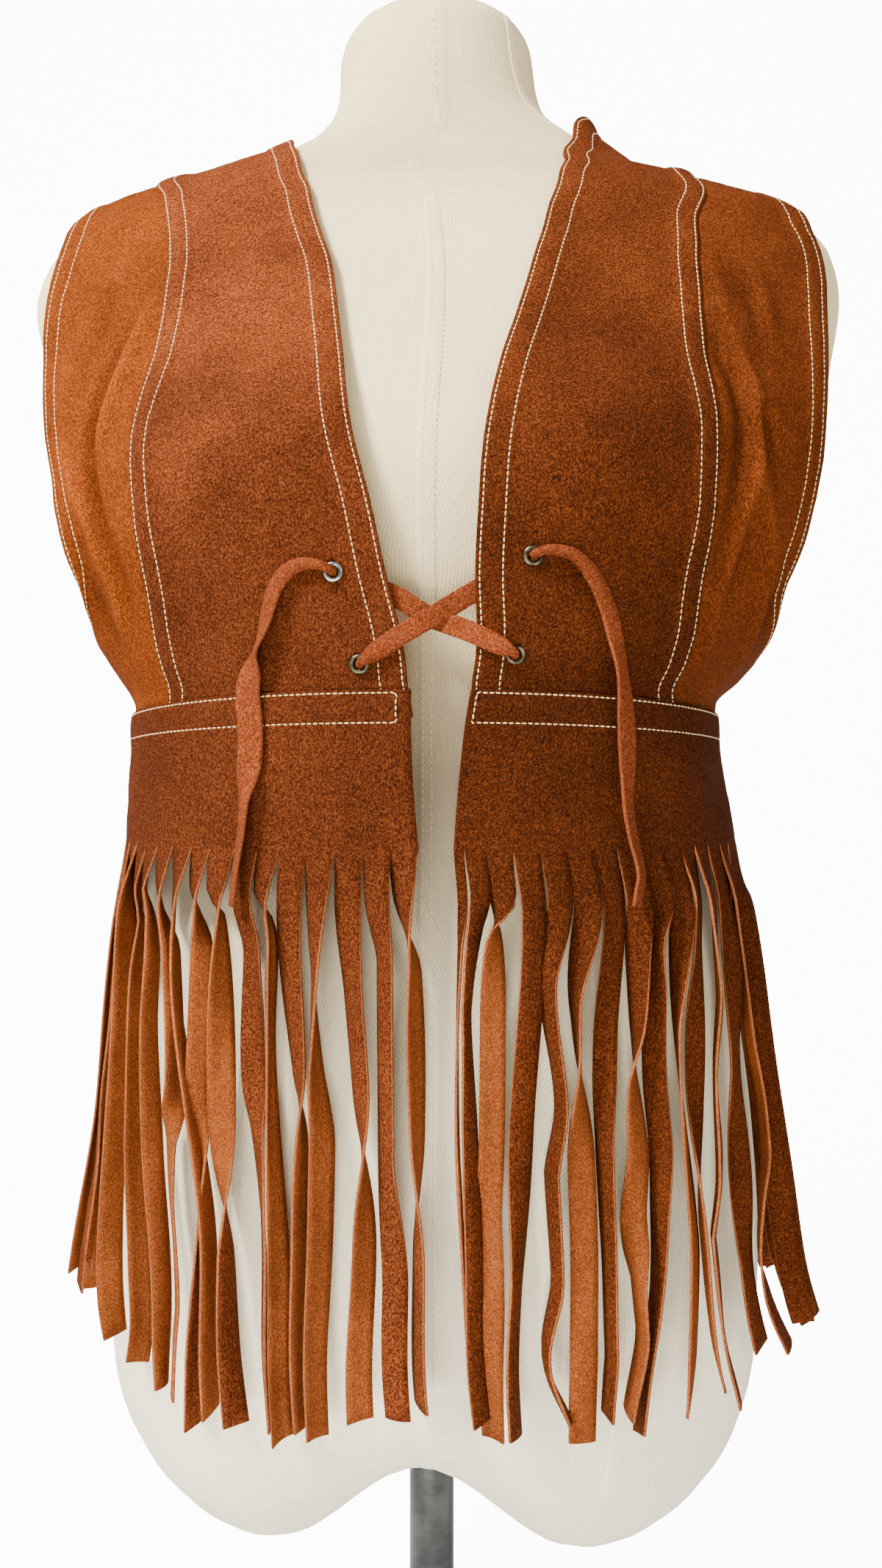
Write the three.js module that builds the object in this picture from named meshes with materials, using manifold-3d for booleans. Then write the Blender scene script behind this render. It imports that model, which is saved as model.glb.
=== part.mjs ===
// A fringed suede vest on a limbless canvas dress form with a pole stand.
// Millimetres, +Z up. The fronts face -Y and the wearer's left side is +X.
// The origin is the middle of the stand's base plate, on the surface it rests on.

import * as THREE from "three";
import { mergeVertices } from "three/addons/utils/BufferGeometryUtils.js";
import Module from "manifold-3d";

const wasm = await Module();
wasm.setup();

// ---- driving sizes -------------------------------------------------------

const SUEDE = 2; // thickness of the suede
const SEAM_GAP = 0.3; // between pieces that are sewn to each other
const LAP_GAP = 0.8; // under the peplum, where flat facets lie over each other
const BODICE_FOOT = 629; // lower edge of the bodice, tucked behind the peplum
const WAIST = 641; // upper edge of the peplum, lapped over the bodice
const FRINGE_TOP = 572; // where the peplum is slit into strips
const FRINGE_TIPS = 316; // lower ends of the strips
const FRINGE_REACH = 7; // depth of the space that the twisting strips fill

const EYELET_RADIUS = 4.6; // outside of an eyelet's flange
const EYELET_BARREL = 3; // outside of its barrel
const EYELET_BORE = 2.3; // the hole that a lace goes through
const EYELET_FLANGE = 0.8; // thickness of the flange on the suede's face
const EYELET_REAR = 0.6; // how far the barrel comes through behind
const EYELET_CHAMFER = [0.5, 0.3]; // off the flange's outer edge and the bore's mouth
const EYELET_SIDES = 12;
const LACE = 3; // the flat lace gathered to a round cord
const LACE_STEPS = 60;
const KNOT_RADIUS = 3.4; // the knot that holds a lace behind its lower eyelet
const KNOT_THICKNESS = 4.2;

const PANEL_ROWS = 32; // rows of facets up a bodice panel, two for each station

const POLE_RADIUS = 12;
const POLE_FIT = 0.35; // clearance of the pole in its two sockets
const POLE_SOCKET = 26; // how far the pole goes up into the form
const BASE_RADIUS = 150;
const BASE_EDGE = 6; // thickness of the base plate at its rim
const HUB_RADIUS = 21;
const HUB_HEIGHT = 26;

const FORM_GIRDLE = 330; // below this height the form rounds into its two lobes
const LOBE_DEPTH = 132; // drop of the rounding below the girdle
const LOBE_POWER = 2.4; // squareness of that rounding
const ARCH_RISE = 64; // height of the arch between the two lobes
const ARCH_WIDTH = 52; // half width of that arch
const NECK_TOP = 1010;
const CROWN = { shares: [0.4, 0.75, 0.93], narrowing: 0.18 }; // rings over the neck

// ---- tables --------------------------------------------------------------

// Outer face of the vest's body, ring by ring. centre and mid are the ring's middle
// in x and y, front and back its depths from there, power its squareness (2: ellipse).
const RING_COLUMNS = ["z", "centre", "mid", "half_width", "front", "back", "power"];
const VEST_RINGS = table(RING_COLUMNS, [
  [560, 0, 0, 159, 120, 123, 2.3],
  [605, -3, 0, 155, 121, 118, 2.3],
  [641, -3, 0, 153, 121, 114, 2.3],
  [655, -1, 0, 164, 122, 112, 2.3],
  [670, 0, 0, 175, 122, 111, 2.3],
  [690, 0, 0, 186, 122, 112, 2.3],
  [715, 0, 0, 196, 122, 114, 2.3],
  [745, 0, 1, 203, 121, 118, 2.3],
  [780, 1, 2, 209, 113, 122, 2.3],
  [815, 2, 4, 214, 98, 122, 2.3],
  [850, 2, 6, 217, 83, 118, 2.25],
  [880, 0, 8, 213, 70, 108, 2.2],
  [900, -2, 9, 203, 61, 98, 2.15],
  [915, -9, 10, 176, 54, 88, 2.1],
  [928, -9, 10, 133, 48, 78, 2],
  [940, 1, 10, 104, 44, 72, 2],
  [950, 7, 10, 86, 42, 66, 2],
  [960, 12, 10, 75, 40, 61, 2],
  [970, 14, 10, 63, 38, 57, 2],
]);

// The bust's rise above the front of those rings, the same on both sides.
const BUST = { x: 84, z: 742, rise: 13, half_width: 48, half_height: 46 };
// The form's shoulder caps, which fill the armholes: a swelling round each side.
const CAPS = {
  right: { rise: 11, z: 868, half_height: 36 },
  left: { rise: 9, z: 885, half_height: 40 },
};
const CAP_ANGLE = 20; // how far round from the side a cap reaches
const CAP_FADE = [896, 908]; // heights over which the caps fade under the shoulders

// Outer reach of the hanging strips.
const FRINGE_RINGS = table(RING_COLUMNS, [
  [316, 5, 2, 197, 131, 138, 2.3],
  [350, 2, 2, 190, 130, 139, 2.3],
  [400, 2, 1, 182, 128, 138, 2.3],
  [460, 1, 1, 174, 126, 134, 2.3],
  [520, 0, 0, 168, 124, 129, 2.3],
  [572, 0, 0, 163, 122, 125, 2.3],
]);

// The dress form, from its girdle up to the closed top of its neck.
const FORM_RINGS = table(RING_COLUMNS, [
  [330, 0, 2, 171, 112, 122, 2.3],
  [365, 0, 1, 172, 113, 125, 2.3],
  [410, 0, 1, 170, 113, 126, 2.3],
  [460, 0, 1, 165, 113, 122, 2.3],
  [520, 0, 0, 156, 109, 114, 2.3],
  [580, 0, 0, 147, 100, 105, 2.3],
  [640, 0, 0, 144, 97, 100, 2.3],
  [670, 0, 0, 164, 100, 101, 2.3],
  [700, 0, 0, 182, 107, 104, 2.3],
  [745, 0, 1, 197, 112, 110, 2.3],
  [780, 1, 2, 204, 105, 114, 2.3],
  [815, 2, 4, 209, 91, 115, 2.3],
  [850, 2, 6, 212, 76, 111, 2.25],
  [878, 0, 8, 208, 65, 102, 2.2],
  [897, -2, 9, 199, 57, 89, 2.1],
  [912, -9, 10, 174, 50, 78, 2.1],
  [925, -9, 10, 132, 44, 71, 2],
  [937, 0, 10, 102, 39, 63, 2],
  [947, 4, 11, 80, 38, 56, 2],
  [960, 3, 12, 62, 42, 52, 2],
  [975, 3, 13, 55, 48, 51, 2],
  [995, 2, 14, 53, 51, 51, 2],
]);

// The bodice's cut lines, from its foot up to the shoulder seam, a row for each
// station. Angles go round the ring in degrees: 0 is the front, 90 the side.
const CUT_COLUMNS = [
  "front_z", "front_angle", "princess_z", "princess_angle", "armhole_z", "armhole_angle",
];
const RIGHT_CUTS = table(CUT_COLUMNS, [
  [629, -0.5, 629, 47, 629, 90],
  [642, 0, 642, 45.5, 642, 90],
  [662, 1, 662, 43, 660, 90],
  [690, 2.5, 690, 39.5, 670, 80],
  [725, 4, 725, 38, 697, 69],
  [760, 6, 762, 37, 738, 66],
  [800, 7.5, 800, 34, 790, 67],
  [845, 9.6, 842, 33.5, 845, 67],
  [867, 11.4, 861, 34, 867, 67.3],
  [888, 13.4, 878, 35.5, 885, 68.5],
  [904, 15.2, 893, 38, 896, 70.5],
  [917, 18, 906, 42, 903, 73],
  [927, 25.4, 915.5, 49.5, 908, 75.5],
  [936, 37.3, 922, 58, 911, 78],
  [943, 52, 926, 66, 913, 81],
  [948, 65, 928, 74, 914, 84],
  [952, 90, 930, 90, 915, 90],
]);
const LEFT_CUTS = table(CUT_COLUMNS, [
  [629, 8.5, 629, 51, 629, 90],
  [642, 8, 642, 48.5, 642, 90],
  [662, 7, 662, 44.5, 660, 90],
  [690, 6, 690, 40.5, 670, 79],
  [725, 6, 725, 39, 697, 67],
  [760, 6.5, 762, 37.5, 738, 64],
  [800, 8, 800, 34.5, 790, 64],
  [845, 10.9, 842, 34, 845, 65],
  [868, 13.1, 862, 35, 866, 65.5],
  [890, 15.8, 880, 37, 883, 66.5],
  [906, 20, 894.5, 41, 894.5, 69.5],
  [920, 29.2, 906, 46, 902, 73],
  [932, 40.3, 913.3, 52.5, 907, 75.5],
  [944, 48.8, 918, 60, 910, 78],
  [953, 58, 921, 68, 912.5, 81],
  [958.5, 70, 922.5, 76, 914, 84],
  [963.5, 90, 924, 90, 915, 90],
]);

// How far the armhole edges of the side fronts stand off, by height.
const STAND_COLUMNS = ["z", "forward", "inward"];
const RIGHT_STAND = table(STAND_COLUMNS, [
  [660, 0, 0],
  [675, 15, 6.5],
  [690, 24, 11],
  [705, 24, 9],
  [725, 20, 7],
  [760, 13, 4.6],
  [800, 10, 2],
  [840, 12, 3],
  [875, 13, 6],
  [898, 9, 5.5],
  [915, 0, 0],
]);
const LEFT_STAND = table(STAND_COLUMNS, [
  [660, 0, 0],
  [675, 10, 1.5],
  [690, 12, 2],
  [705, 6, -1.5],
  [725, 2, -4.6],
  [745, 2, -5.5],
  [770, 3, -4.5],
  [800, 7, -1],
  [840, 8, 2],
  [870, 5, -0.5],
  [895, 6, 1],
  [915, 0, 0],
]);

// The back's armhole edges and neckline, in the same terms; 180 is the middle.
const BACK_CUTS = table(["armhole_z", "armhole_angle"], [
  [629, 90],
  [642, 90],
  [660, 90],
  [670, 98],
  [697, 107],
  [738, 112],
  [790, 114],
  [845, 112],
  [885, 107],
  [903, 101],
  [911, 96],
  [914, 93],
  [915, 90],
]);
const BACK_NECK = table(["angle", "z"], [
  [90, 963.5],
  [112, 954],
  [140, 943],
  [180, 939],
  [220, 941],
  [248, 946],
  [270, 952],
]);

// Where each eyelet sits on its front.
const EYELETS = {
  right_upper: { angle: -8.5, z: 692 },
  right_lower: { angle: -6, z: 652 },
  left_upper: { angle: 12.8, z: 698 },
  left_lower: { angle: 12.8, z: 656 },
};

// The middle line of each lace. It comes out of the lower eyelet of one front, passes
// behind the other front and out of its upper eyelet, and hangs to its free end.
const LACE_ROUTES = {
  left: [
    [-24, -119.6, 652], [-24, -121.2, 652], [-24, -122.8, 652], [-22.8, -125, 652.8],
    [-19.5, -125.6, 655.2], [-13, -124.4, 659.6], [-6, -123.8, 664.2], [1, -123.6, 668.4],
    [7, -122.8, 672], [13, -121, 675.6], [19, -118.8, 679.6], [26, -117.6, 683.8],
    [35, -117.4, 688.6], [43, -116.8, 693.6], [48, -116, 697.2], [50.6, -117, 698.6],
    [51.1, -119.3, 698.5], [51.2, -121.7, 698.2], [51.3, -124.4, 697.9], [53, -127, 698.6],
    [57, -127.4, 699.6], [62.5, -126.2, 699.6], [69.5, -124.4, 697.4], [75.5, -122, 692],
    [80, -119.3, 685], [84.3, -116.3, 675], [87, -113.8, 665.5], [89.2, -112, 655],
    [90.9, -110.2, 645], [92, -108.6, 634.5], [92.8, -107.6, 624], [93, -107.4, 613.5],
    [93, -107.8, 603], [93, -108.2, 592.5], [94, -108.2, 584], [95.6, -107.8, 575.5],
    [97.7, -107.6, 567.5], [98.9, -108, 559.5], [97.8, -108.8, 552.5], [96.8, -109.4, 546],
  ],
  right: [
    [43.4, -118, 656.1], [43.5, -119.6, 656], [43.6, -121.2, 655.9], [42.9, -123.5, 656.6],
    [39.6, -124.9, 658.2], [32, -124.4, 661.8], [25, -123.6, 665], [19, -121.8, 667.6],
    [13, -120, 670], [7, -118.8, 672.4], [0, -118, 676.4], [-7, -117.6, 681],
    [-15, -117.4, 684.8], [-23, -117.2, 688.2], [-29, -116.6, 690.6], [-33.2, -116.2, 691.8],
    [-35.4, -117.4, 692.2], [-35.7, -119.6, 692.1], [-35.8, -121.8, 692], [-36, -124.2, 692.2],
    [-37.6, -126.4, 693], [-41.2, -127, 694.2], [-46.5, -126.2, 695], [-52.4, -125.3, 694],
    [-57.7, -124.2, 690.2], [-62, -122.4, 683.4], [-64.6, -120.8, 675.4], [-67.2, -119.2, 666.4],
    [-70.4, -117.8, 657.6], [-72.8, -117.2, 648.8], [-74, -117.6, 639.4], [-73, -118.2, 629.6],
    [-72.6, -118.2, 619.6], [-73, -118, 610], [-74.6, -117.4, 600.4], [-75.8, -116.8, 590.4],
    [-76.8, -116.2, 580.8], [-78.3, -115.6, 571], [-79.6, -115.4, 562.6], [-81.4, -115.2, 546],
  ],
};

// ---- materials -----------------------------------------------------------

const SUEDE_FINISH = finish(0x9a4a1c, 0.95, 0);
const FRINGE_FINISH = finish(0xa3521f, 0.95, 0);
const LACE_FINISH = finish(0xb9663c, 0.9, 0);
const EYELET_FINISH = finish(0x6f6a58, 0.4, 0.9);
const CANVAS_FINISH = finish(0xe2d8c3, 0.9, 0);
const STEEL_FINISH = finish(0x9b9d9f, 0.35, 0.9);

function finish(colour, roughness, metalness) {
  return new THREE.MeshStandardMaterial({ color: colour, roughness, metalness });
}

// ---- tables and curves ---------------------------------------------------

function table(columns, rows) {
  return rows.map((row) => Object.fromEntries(columns.map((name, i) => [name, row[i]])));
}

// Cubic through the rows of a table, read at a value of its key column.
function read(rows, key, at, column) {
  const last = rows.length - 1;
  const value = THREE.MathUtils.clamp(at, rows[0][key], rows[last][key]);
  let low = 0;
  while (low < last - 1 && rows[low + 1][key] <= value) low += 1;
  const slope = (i) => {
    const before = rows[Math.max(i - 1, 0)];
    const after = rows[Math.min(i + 1, last)];
    return (after[column] - before[column]) / (after[key] - before[key]);
  };
  const [a, b] = [rows[low], rows[low + 1]];
  const span = b[key] - a[key];
  const t = (value - a[key]) / span;
  return (
    (2 * t ** 3 - 3 * t ** 2 + 1) * a[column] +
    (t ** 3 - 2 * t ** 2 + t) * span * slope(low) +
    (-2 * t ** 3 + 3 * t ** 2) * b[column] +
    (t ** 3 - t ** 2) * span * slope(low + 1)
  );
}

// The same cubic read by the share of the way from the first row to the last.
function readByShare(rows, share, column) {
  const numbered = rows.map((row, station) => ({ ...row, station }));
  return read(numbered, "station", share * (rows.length - 1), column);
}

// ---- surfaces ------------------------------------------------------------

const signedPower = (value, power) => Math.sign(value) * Math.abs(value) ** power;

// A point of a ring: angle 0 is the front, +90 the wearer's left side.
function ringPoint(rings, z, angle) {
  const at = (column) => read(rings, "z", z, column);
  const radians = THREE.MathUtils.degToRad(angle);
  const exponent = 2 / at("power");
  const across = signedPower(Math.sin(radians), exponent);
  const forward = signedPower(Math.cos(radians), exponent);
  const depth = forward > 0 ? at("front") : at("back");
  return new THREE.Vector3(
    at("centre") + at("half_width") * across,
    at("mid") - depth * forward,
    z,
  );
}

function vestPoint(z, angle) {
  const point = ringPoint(VEST_RINGS, z, angle);
  const forward = Math.cos(THREE.MathUtils.degToRad(angle));
  if (forward > 0) {
    const across = (Math.abs(point.x) - BUST.x) / BUST.half_width;
    const up = (z - BUST.z) / BUST.half_height;
    point.y -= BUST.rise * Math.exp(-(across ** 2) - up ** 2) * Math.min(1, 3 * forward);
  }
  return point;
}

// The same surface where a side front stands off from its princess seam to its armhole.
function standingPoint(cuts, stand) {
  return (z, angle) => {
    const point = vestPoint(z, angle);
    const seam = read(cuts, "princess_z", z, "princess_angle");
    const edge = read(cuts, "armhole_z", z, "armhole_angle");
    const share = THREE.MathUtils.clamp((Math.abs(angle) - seam) / (edge - seam), 0, 1.2);
    point.x -= Math.sign(angle) * read(stand, "z", z, "inward") * share ** 2;
    point.y -= read(stand, "z", z, "forward") * share ** 2;
    return point;
  };
}

// The form's surface, with its shoulder caps.
function formPoint(z, angle) {
  const point = ringPoint(FORM_RINGS, z, angle);
  const wrapped = THREE.MathUtils.euclideanModulo(angle + 180, 360) - 180;
  const cap = wrapped < 0 ? CAPS.right : CAPS.left;
  const away = THREE.MathUtils.clamp((Math.abs(wrapped) - 90) / CAP_ANGLE, -1, 1);
  const rise =
    cap.rise * Math.exp(-(((z - cap.z) / cap.half_height) ** 2)) *
    (1 - THREE.MathUtils.smoothstep(z, ...CAP_FADE));
  point.x += Math.sign(wrapped) * rise * (1 - away ** 2) ** 2;
  return point;
}

const fringePoint = (z, angle) => ringPoint(FRINGE_RINGS, z, angle);

// The outward direction of a surface at a place on it.
function outward(surface, z, angle) {
  const step = 0.5;
  const round = surface(z, angle + step).sub(surface(z, angle - step));
  const up = surface(z + step, angle).sub(surface(z - step, angle));
  return round.cross(up).normalize();
}

// The angle that takes up a length along a ring at a place on it.
function angleOf(surface, z, angle, length) {
  return length / surface(z, angle + 0.5).distanceTo(surface(z, angle - 0.5));
}

// ---- solids --------------------------------------------------------------

// A closed mesh of points and faces, turned so that its faces point out.
function solid(points, faces) {
  let volume = 0;
  for (const [a, b, c] of faces) {
    volume += points[a].dot(points[b].clone().cross(points[c]));
  }
  const turned = volume < 0 ? faces.map(([a, b, c]) => [a, c, b]) : faces;
  const geometry = new THREE.BufferGeometry();
  const positions = points.flatMap((point) => [point.x, point.y, point.z]);
  geometry.setAttribute("position", new THREE.Float32BufferAttribute(positions, 3));
  geometry.setIndex(turned.flat());
  return geometry;
}

// A wall over a grid of places. place(up, along), both 0 to 1, gives {z, angle};
// the outer face stands proud of the surface and the inner one is a thickness in.
function wall(surface, place, rows, columns, proud, thickness) {
  const points = [];
  for (const depth of [proud, proud - thickness]) {
    for (let j = 0; j <= rows; j += 1) {
      for (let i = 0; i <= columns; i += 1) {
        const { z, angle } = place(j / rows, i / columns);
        const shift = outward(surface, z, angle).multiplyScalar(depth);
        points.push(surface(z, angle).add(shift));
      }
    }
  }
  const wide = columns + 1;
  const layer = wide * (rows + 1);
  const faces = [];
  const quad = (a, b, c, d) => faces.push([a, b, c], [a, c, d]);
  for (let j = 0; j < rows; j += 1) {
    for (let i = 0; i < columns; i += 1) {
      const corner = j * wide + i;
      quad(corner, corner + 1, corner + wide + 1, corner + wide);
      quad(
        layer + corner, layer + corner + wide,
        layer + corner + wide + 1, layer + corner + 1,
      );
    }
  }
  const rim = [];
  for (let i = 0; i < columns; i += 1) rim.push(i);
  for (let j = 0; j < rows; j += 1) rim.push(j * wide + columns);
  for (let i = columns; i > 0; i -= 1) rim.push(rows * wide + i);
  for (let j = rows; j > 0; j -= 1) rim.push(j * wide);
  rim.forEach((corner, k) => {
    const next = rim[(k + 1) % rim.length];
    quad(corner, layer + corner, layer + next, next);
  });
  return solid(points, faces);
}

// A closed body of rings, with a point at each end.
function closedRings(rings, start, end) {
  const points = [start, ...rings.flat(), end];
  const count = rings[0].length;
  const faces = [];
  for (let i = 0; i < count; i += 1) {
    const next = (i + 1) % count;
    faces.push([0, 1 + next, 1 + i]);
    for (let j = 0; j < rings.length - 1; j += 1) {
      const [low, high] = [1 + j * count, 1 + (j + 1) * count];
      faces.push([low + i, low + next, high + next], [low + i, high + next, high + i]);
    }
    const last = 1 + (rings.length - 1) * count;
    faces.push([points.length - 1, last + i, last + next]);
  }
  return solid(points, faces);
}

function toManifold(geometry) {
  const bare = geometry.clone();
  bare.deleteAttribute("normal");
  bare.deleteAttribute("uv");
  const merged = mergeVertices(bare, 1e-4);
  return new wasm.Manifold(
    new wasm.Mesh({
      numProp: 3,
      vertProperties: Float32Array.from(merged.attributes.position.array),
      triVerts: Uint32Array.from(merged.index.array),
    }),
  );
}

function subtract(geometry, cutter) {
  const cut = toManifold(geometry).subtract(toManifold(cutter)).getMesh();
  const result = new THREE.BufferGeometry();
  result.setAttribute("position", new THREE.BufferAttribute(cut.vertProperties, 3));
  result.setIndex(new THREE.BufferAttribute(cut.triVerts, 1));
  return result;
}

// ---- the vest's panels ---------------------------------------------------

const part = new THREE.Group();

function add(name, geometry, material) {
  const mesh = new THREE.Mesh(geometry, material);
  mesh.name = name;
  part.add(mesh);
  return mesh;
}

// A cut line of one side: its place by the share of the way up it.
function cutLine(cuts, line, side) {
  return (up) => ({
    z: readByShare(cuts, up, `${line}_z`),
    angle: side * readByShare(cuts, up, `${line}_angle`),
  });
}

// The place beside a line of places, a length across the line on the surface.
function beside(surface, line, up, length) {
  const here = line(up);
  const before = line(Math.max(up - 0.01, 0));
  const after = line(Math.min(up + 0.01, 1));
  const along = surface(after.z, after.angle).sub(surface(before.z, before.angle));
  const byZ = surface(here.z + 0.5, here.angle).sub(surface(here.z - 0.5, here.angle));
  const byAngle = surface(here.z, here.angle + 0.5).sub(surface(here.z, here.angle - 0.5));
  const across = along.cross(outward(surface, here.z, here.angle)).setLength(length);
  const [zz, za, aa] = [byZ.dot(byZ), byZ.dot(byAngle), byAngle.dot(byAngle)];
  const [toZ, toAngle] = [across.dot(byZ), across.dot(byAngle)];
  const scale = zz * aa - za * za;
  return {
    z: here.z + (aa * toZ - za * toAngle) / scale,
    angle: here.angle + (zz * toAngle - za * toZ) / scale,
  };
}

// A panel between two cut lines of one side, each half a seam's gap short of its line.
function frontPanel(side, innerLine, outerLine, rows, columns, surface = vestPoint) {
  const halfGap = SEAM_GAP / 2;
  const place = (up, along) => {
    const inner = beside(vestPoint, innerLine, up, side * halfGap);
    const outer = beside(vestPoint, outerLine, up, -side * halfGap);
    const z = THREE.MathUtils.lerp(inner.z, outer.z, along);
    const angle = THREE.MathUtils.lerp(inner.angle, outer.angle, along);
    const limit = 90 - angleOf(vestPoint, z, 90, halfGap);
    return { z, angle: side * Math.min(side * angle, limit) };
  };
  return wall(surface, place, rows, columns, 0, SUEDE);
}

// An eyelet's axis: from the middle of its place on the suede, straight out.
function eyeletAxis({ z, angle }) {
  return { foot: vestPoint(z, angle), out: outward(vestPoint, z, angle) };
}

// Turns a geometry made round +Y so that +Y is the eyelet's way out.
function seatOnEyelet(geometry, eyelet, proud) {
  const { foot, out } = eyeletAxis(eyelet);
  const turn = new THREE.Quaternion().setFromUnitVectors(new THREE.Vector3(0, 1, 0), out);
  geometry.applyQuaternion(turn);
  geometry.translate(...foot.add(out.multiplyScalar(proud)).toArray());
  return geometry;
}

function punch(geometry, eyelet) {
  const radius = EYELET_BARREL + SEAM_GAP;
  const punchTool = new THREE.CylinderGeometry(radius, radius, 12, EYELET_SIDES);
  return subtract(geometry, seatOnEyelet(punchTool, eyelet, 0));
}

function buildFront(side, word, cuts, stand) {
  const front = cutLine(cuts, "front", side);
  const princess = cutLine(cuts, "princess", side);
  const armhole = cutLine(cuts, "armhole", side);
  let centre = frontPanel(side, front, princess, PANEL_ROWS, 8);
  centre = punch(centre, EYELETS[`${word}_upper`]);
  centre = punch(centre, EYELETS[`${word}_lower`]);
  add(`front_${word}`, centre, SUEDE_FINISH);
  const outer = frontPanel(side, princess, armhole, PANEL_ROWS, 6, standingPoint(cuts, stand));
  add(`side_front_${word}`, outer, SUEDE_FINISH);
}

// The back is one piece. Its places blend its four edges, and its top edge is made of
// a shoulder, the neckline and the other shoulder.
function buildBack() {
  const edge = cutLine(BACK_CUTS, "armhole", 1);
  const shoulder = 0.3; // share of the top edge that one shoulder seam takes
  const top = (along) => {
    const angle = THREE.MathUtils.mapLinear(along, shoulder, 1 - shoulder, 90, 270);
    const clamped = THREE.MathUtils.clamp(angle, 90, 270);
    const neck = read(BACK_NECK, "angle", clamped, "z");
    const fromTip = Math.min(along / shoulder, (1 - along) / shoulder, 1);
    return { z: THREE.MathUtils.lerp(edge(1).z, neck, fromTip), angle: clamped };
  };
  const place = (up, along) => {
    const near = edge(up);
    const crest = top(along);
    const across = (low, high) => THREE.MathUtils.lerp(low, high, along);
    const foot = { z: BODICE_FOOT, angle: across(90, 270) };
    const sides = { z: near.z, angle: across(near.angle, 360 - near.angle) };
    const corners = {
      z: THREE.MathUtils.lerp(BODICE_FOOT, edge(1).z, up),
      angle: across(90, 270),
    };
    const z = THREE.MathUtils.lerp(foot.z, crest.z, up) + sides.z - corners.z;
    const angle =
      THREE.MathUtils.lerp(foot.angle, crest.angle, up) + sides.angle - corners.angle;
    const gap = angleOf(vestPoint, z, 90, SEAM_GAP / 2);
    return { z, angle: THREE.MathUtils.clamp(angle, 90 + gap, 270 - gap) };
  };
  add("back", wall(vestPoint, place, PANEL_ROWS, 20, 0, SUEDE), SUEDE_FINISH);
}

// ---- the peplum and its fringe -------------------------------------------

// One band between two heights, from one edge to the next round the body. Each edge
// has its angle at the lower and at the upper height, and is half a seam's gap short.
function band(surface, low, high, from, to, rows, columns, proud, thickness) {
  const gap = angleOf(surface, high, 90, SEAM_GAP / 2);
  const place = (up, along) => ({
    z: THREE.MathUtils.lerp(low, high, up),
    angle: THREE.MathUtils.lerp(
      THREE.MathUtils.lerp(from[0], from[1], up) + gap,
      THREE.MathUtils.lerp(to[0], to[1], up) - gap,
      along,
    ),
  });
  return wall(surface, place, rows, columns, proud, thickness);
}

function buildPeplum() {
  const lapped = SUEDE + LAP_GAP;
  const spans = [
    { name: "front_right", from: [-90, -90], to: [0.5, 0.3], columns: 12 },
    { name: "front_left", from: [5, 8], to: [90, 90], columns: 12 },
    { name: "back", from: [90, 90], to: [270, 270], columns: 22 },
  ];
  const stripsFrom = FRINGE_TOP - SEAM_GAP;
  for (const { name, from, to, columns } of spans) {
    const peplum = band(vestPoint, FRINGE_TOP, WAIST, from, to, 4, columns, lapped, SUEDE);
    add(`peplum_${name}`, peplum, SUEDE_FINISH);
    const hung = [from, to].map(([edge]) => [edge, edge]);
    const reach = band(
      fringePoint, FRINGE_TIPS, stripsFrom, ...hung, 6, columns, 0, FRINGE_REACH,
    );
    add(`fringe_${name}`, reach, FRINGE_FINISH);
  }
}

// ---- eyelets and laces ---------------------------------------------------

function buildEyelets() {
  const rear = -SUEDE - EYELET_REAR;
  const [outerChamfer, boreChamfer] = EYELET_CHAMFER;
  const seat = SEAM_GAP + 0.1;
  const face = seat + EYELET_FLANGE;
  const profile = [
    [EYELET_BORE, rear],
    [EYELET_BARREL, rear],
    [EYELET_BARREL, seat],
    [EYELET_RADIUS, seat],
    [EYELET_RADIUS - outerChamfer, face],
    [EYELET_BORE + boreChamfer, face],
    [EYELET_BORE, rear],
  ].map(([radius, height]) => new THREE.Vector2(radius, height));
  for (const [name, eyelet] of Object.entries(EYELETS)) {
    const ring = new THREE.LatheGeometry(profile, EYELET_SIDES);
    add(`eyelet_${name}`, seatOnEyelet(ring, eyelet, 0), EYELET_FINISH);
  }
}

// A lace is a round cord of its route, with a knot behind the eyelet it starts from.
function buildLaces() {
  const section = new THREE.Shape();
  const sides = 8;
  for (let i = 0; i <= sides; i += 1) {
    const turn = (2 * Math.PI * i) / sides;
    const [x, y] = [(LACE / 2) * Math.cos(turn), (LACE / 2) * Math.sin(turn)];
    if (i === 0) section.moveTo(x, y);
    else section.lineTo(x, y);
  }
  const starts = { left: EYELETS.right_lower, right: EYELETS.left_lower };
  for (const [word, route] of Object.entries(LACE_ROUTES)) {
    const points = route.map(([x, y, z]) => new THREE.Vector3(x, y, z));
    const extrudePath = new THREE.CatmullRomCurve3(points, false, "centripetal");
    const cord = new THREE.ExtrudeGeometry(section, { steps: LACE_STEPS, extrudePath });
    add(`lace_${word}`, cord, LACE_FINISH);
    const knot = new THREE.SphereGeometry(1, 10, 6);
    knot.scale(KNOT_RADIUS, KNOT_THICKNESS / 2, KNOT_RADIUS);
    const depth = SUEDE + KNOT_THICKNESS / 2 + SEAM_GAP;
    add(`lace_knot_${word}`, seatOnEyelet(knot, starts[word], -depth), LACE_FINISH);
  }
}

buildFront(-1, "right", RIGHT_CUTS, RIGHT_STAND);
buildFront(1, "left", LEFT_CUTS, LEFT_STAND);
buildBack();
buildPeplum();
buildEyelets();
buildLaces();

// ---- the dress form and its stand ----------------------------------------

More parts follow.
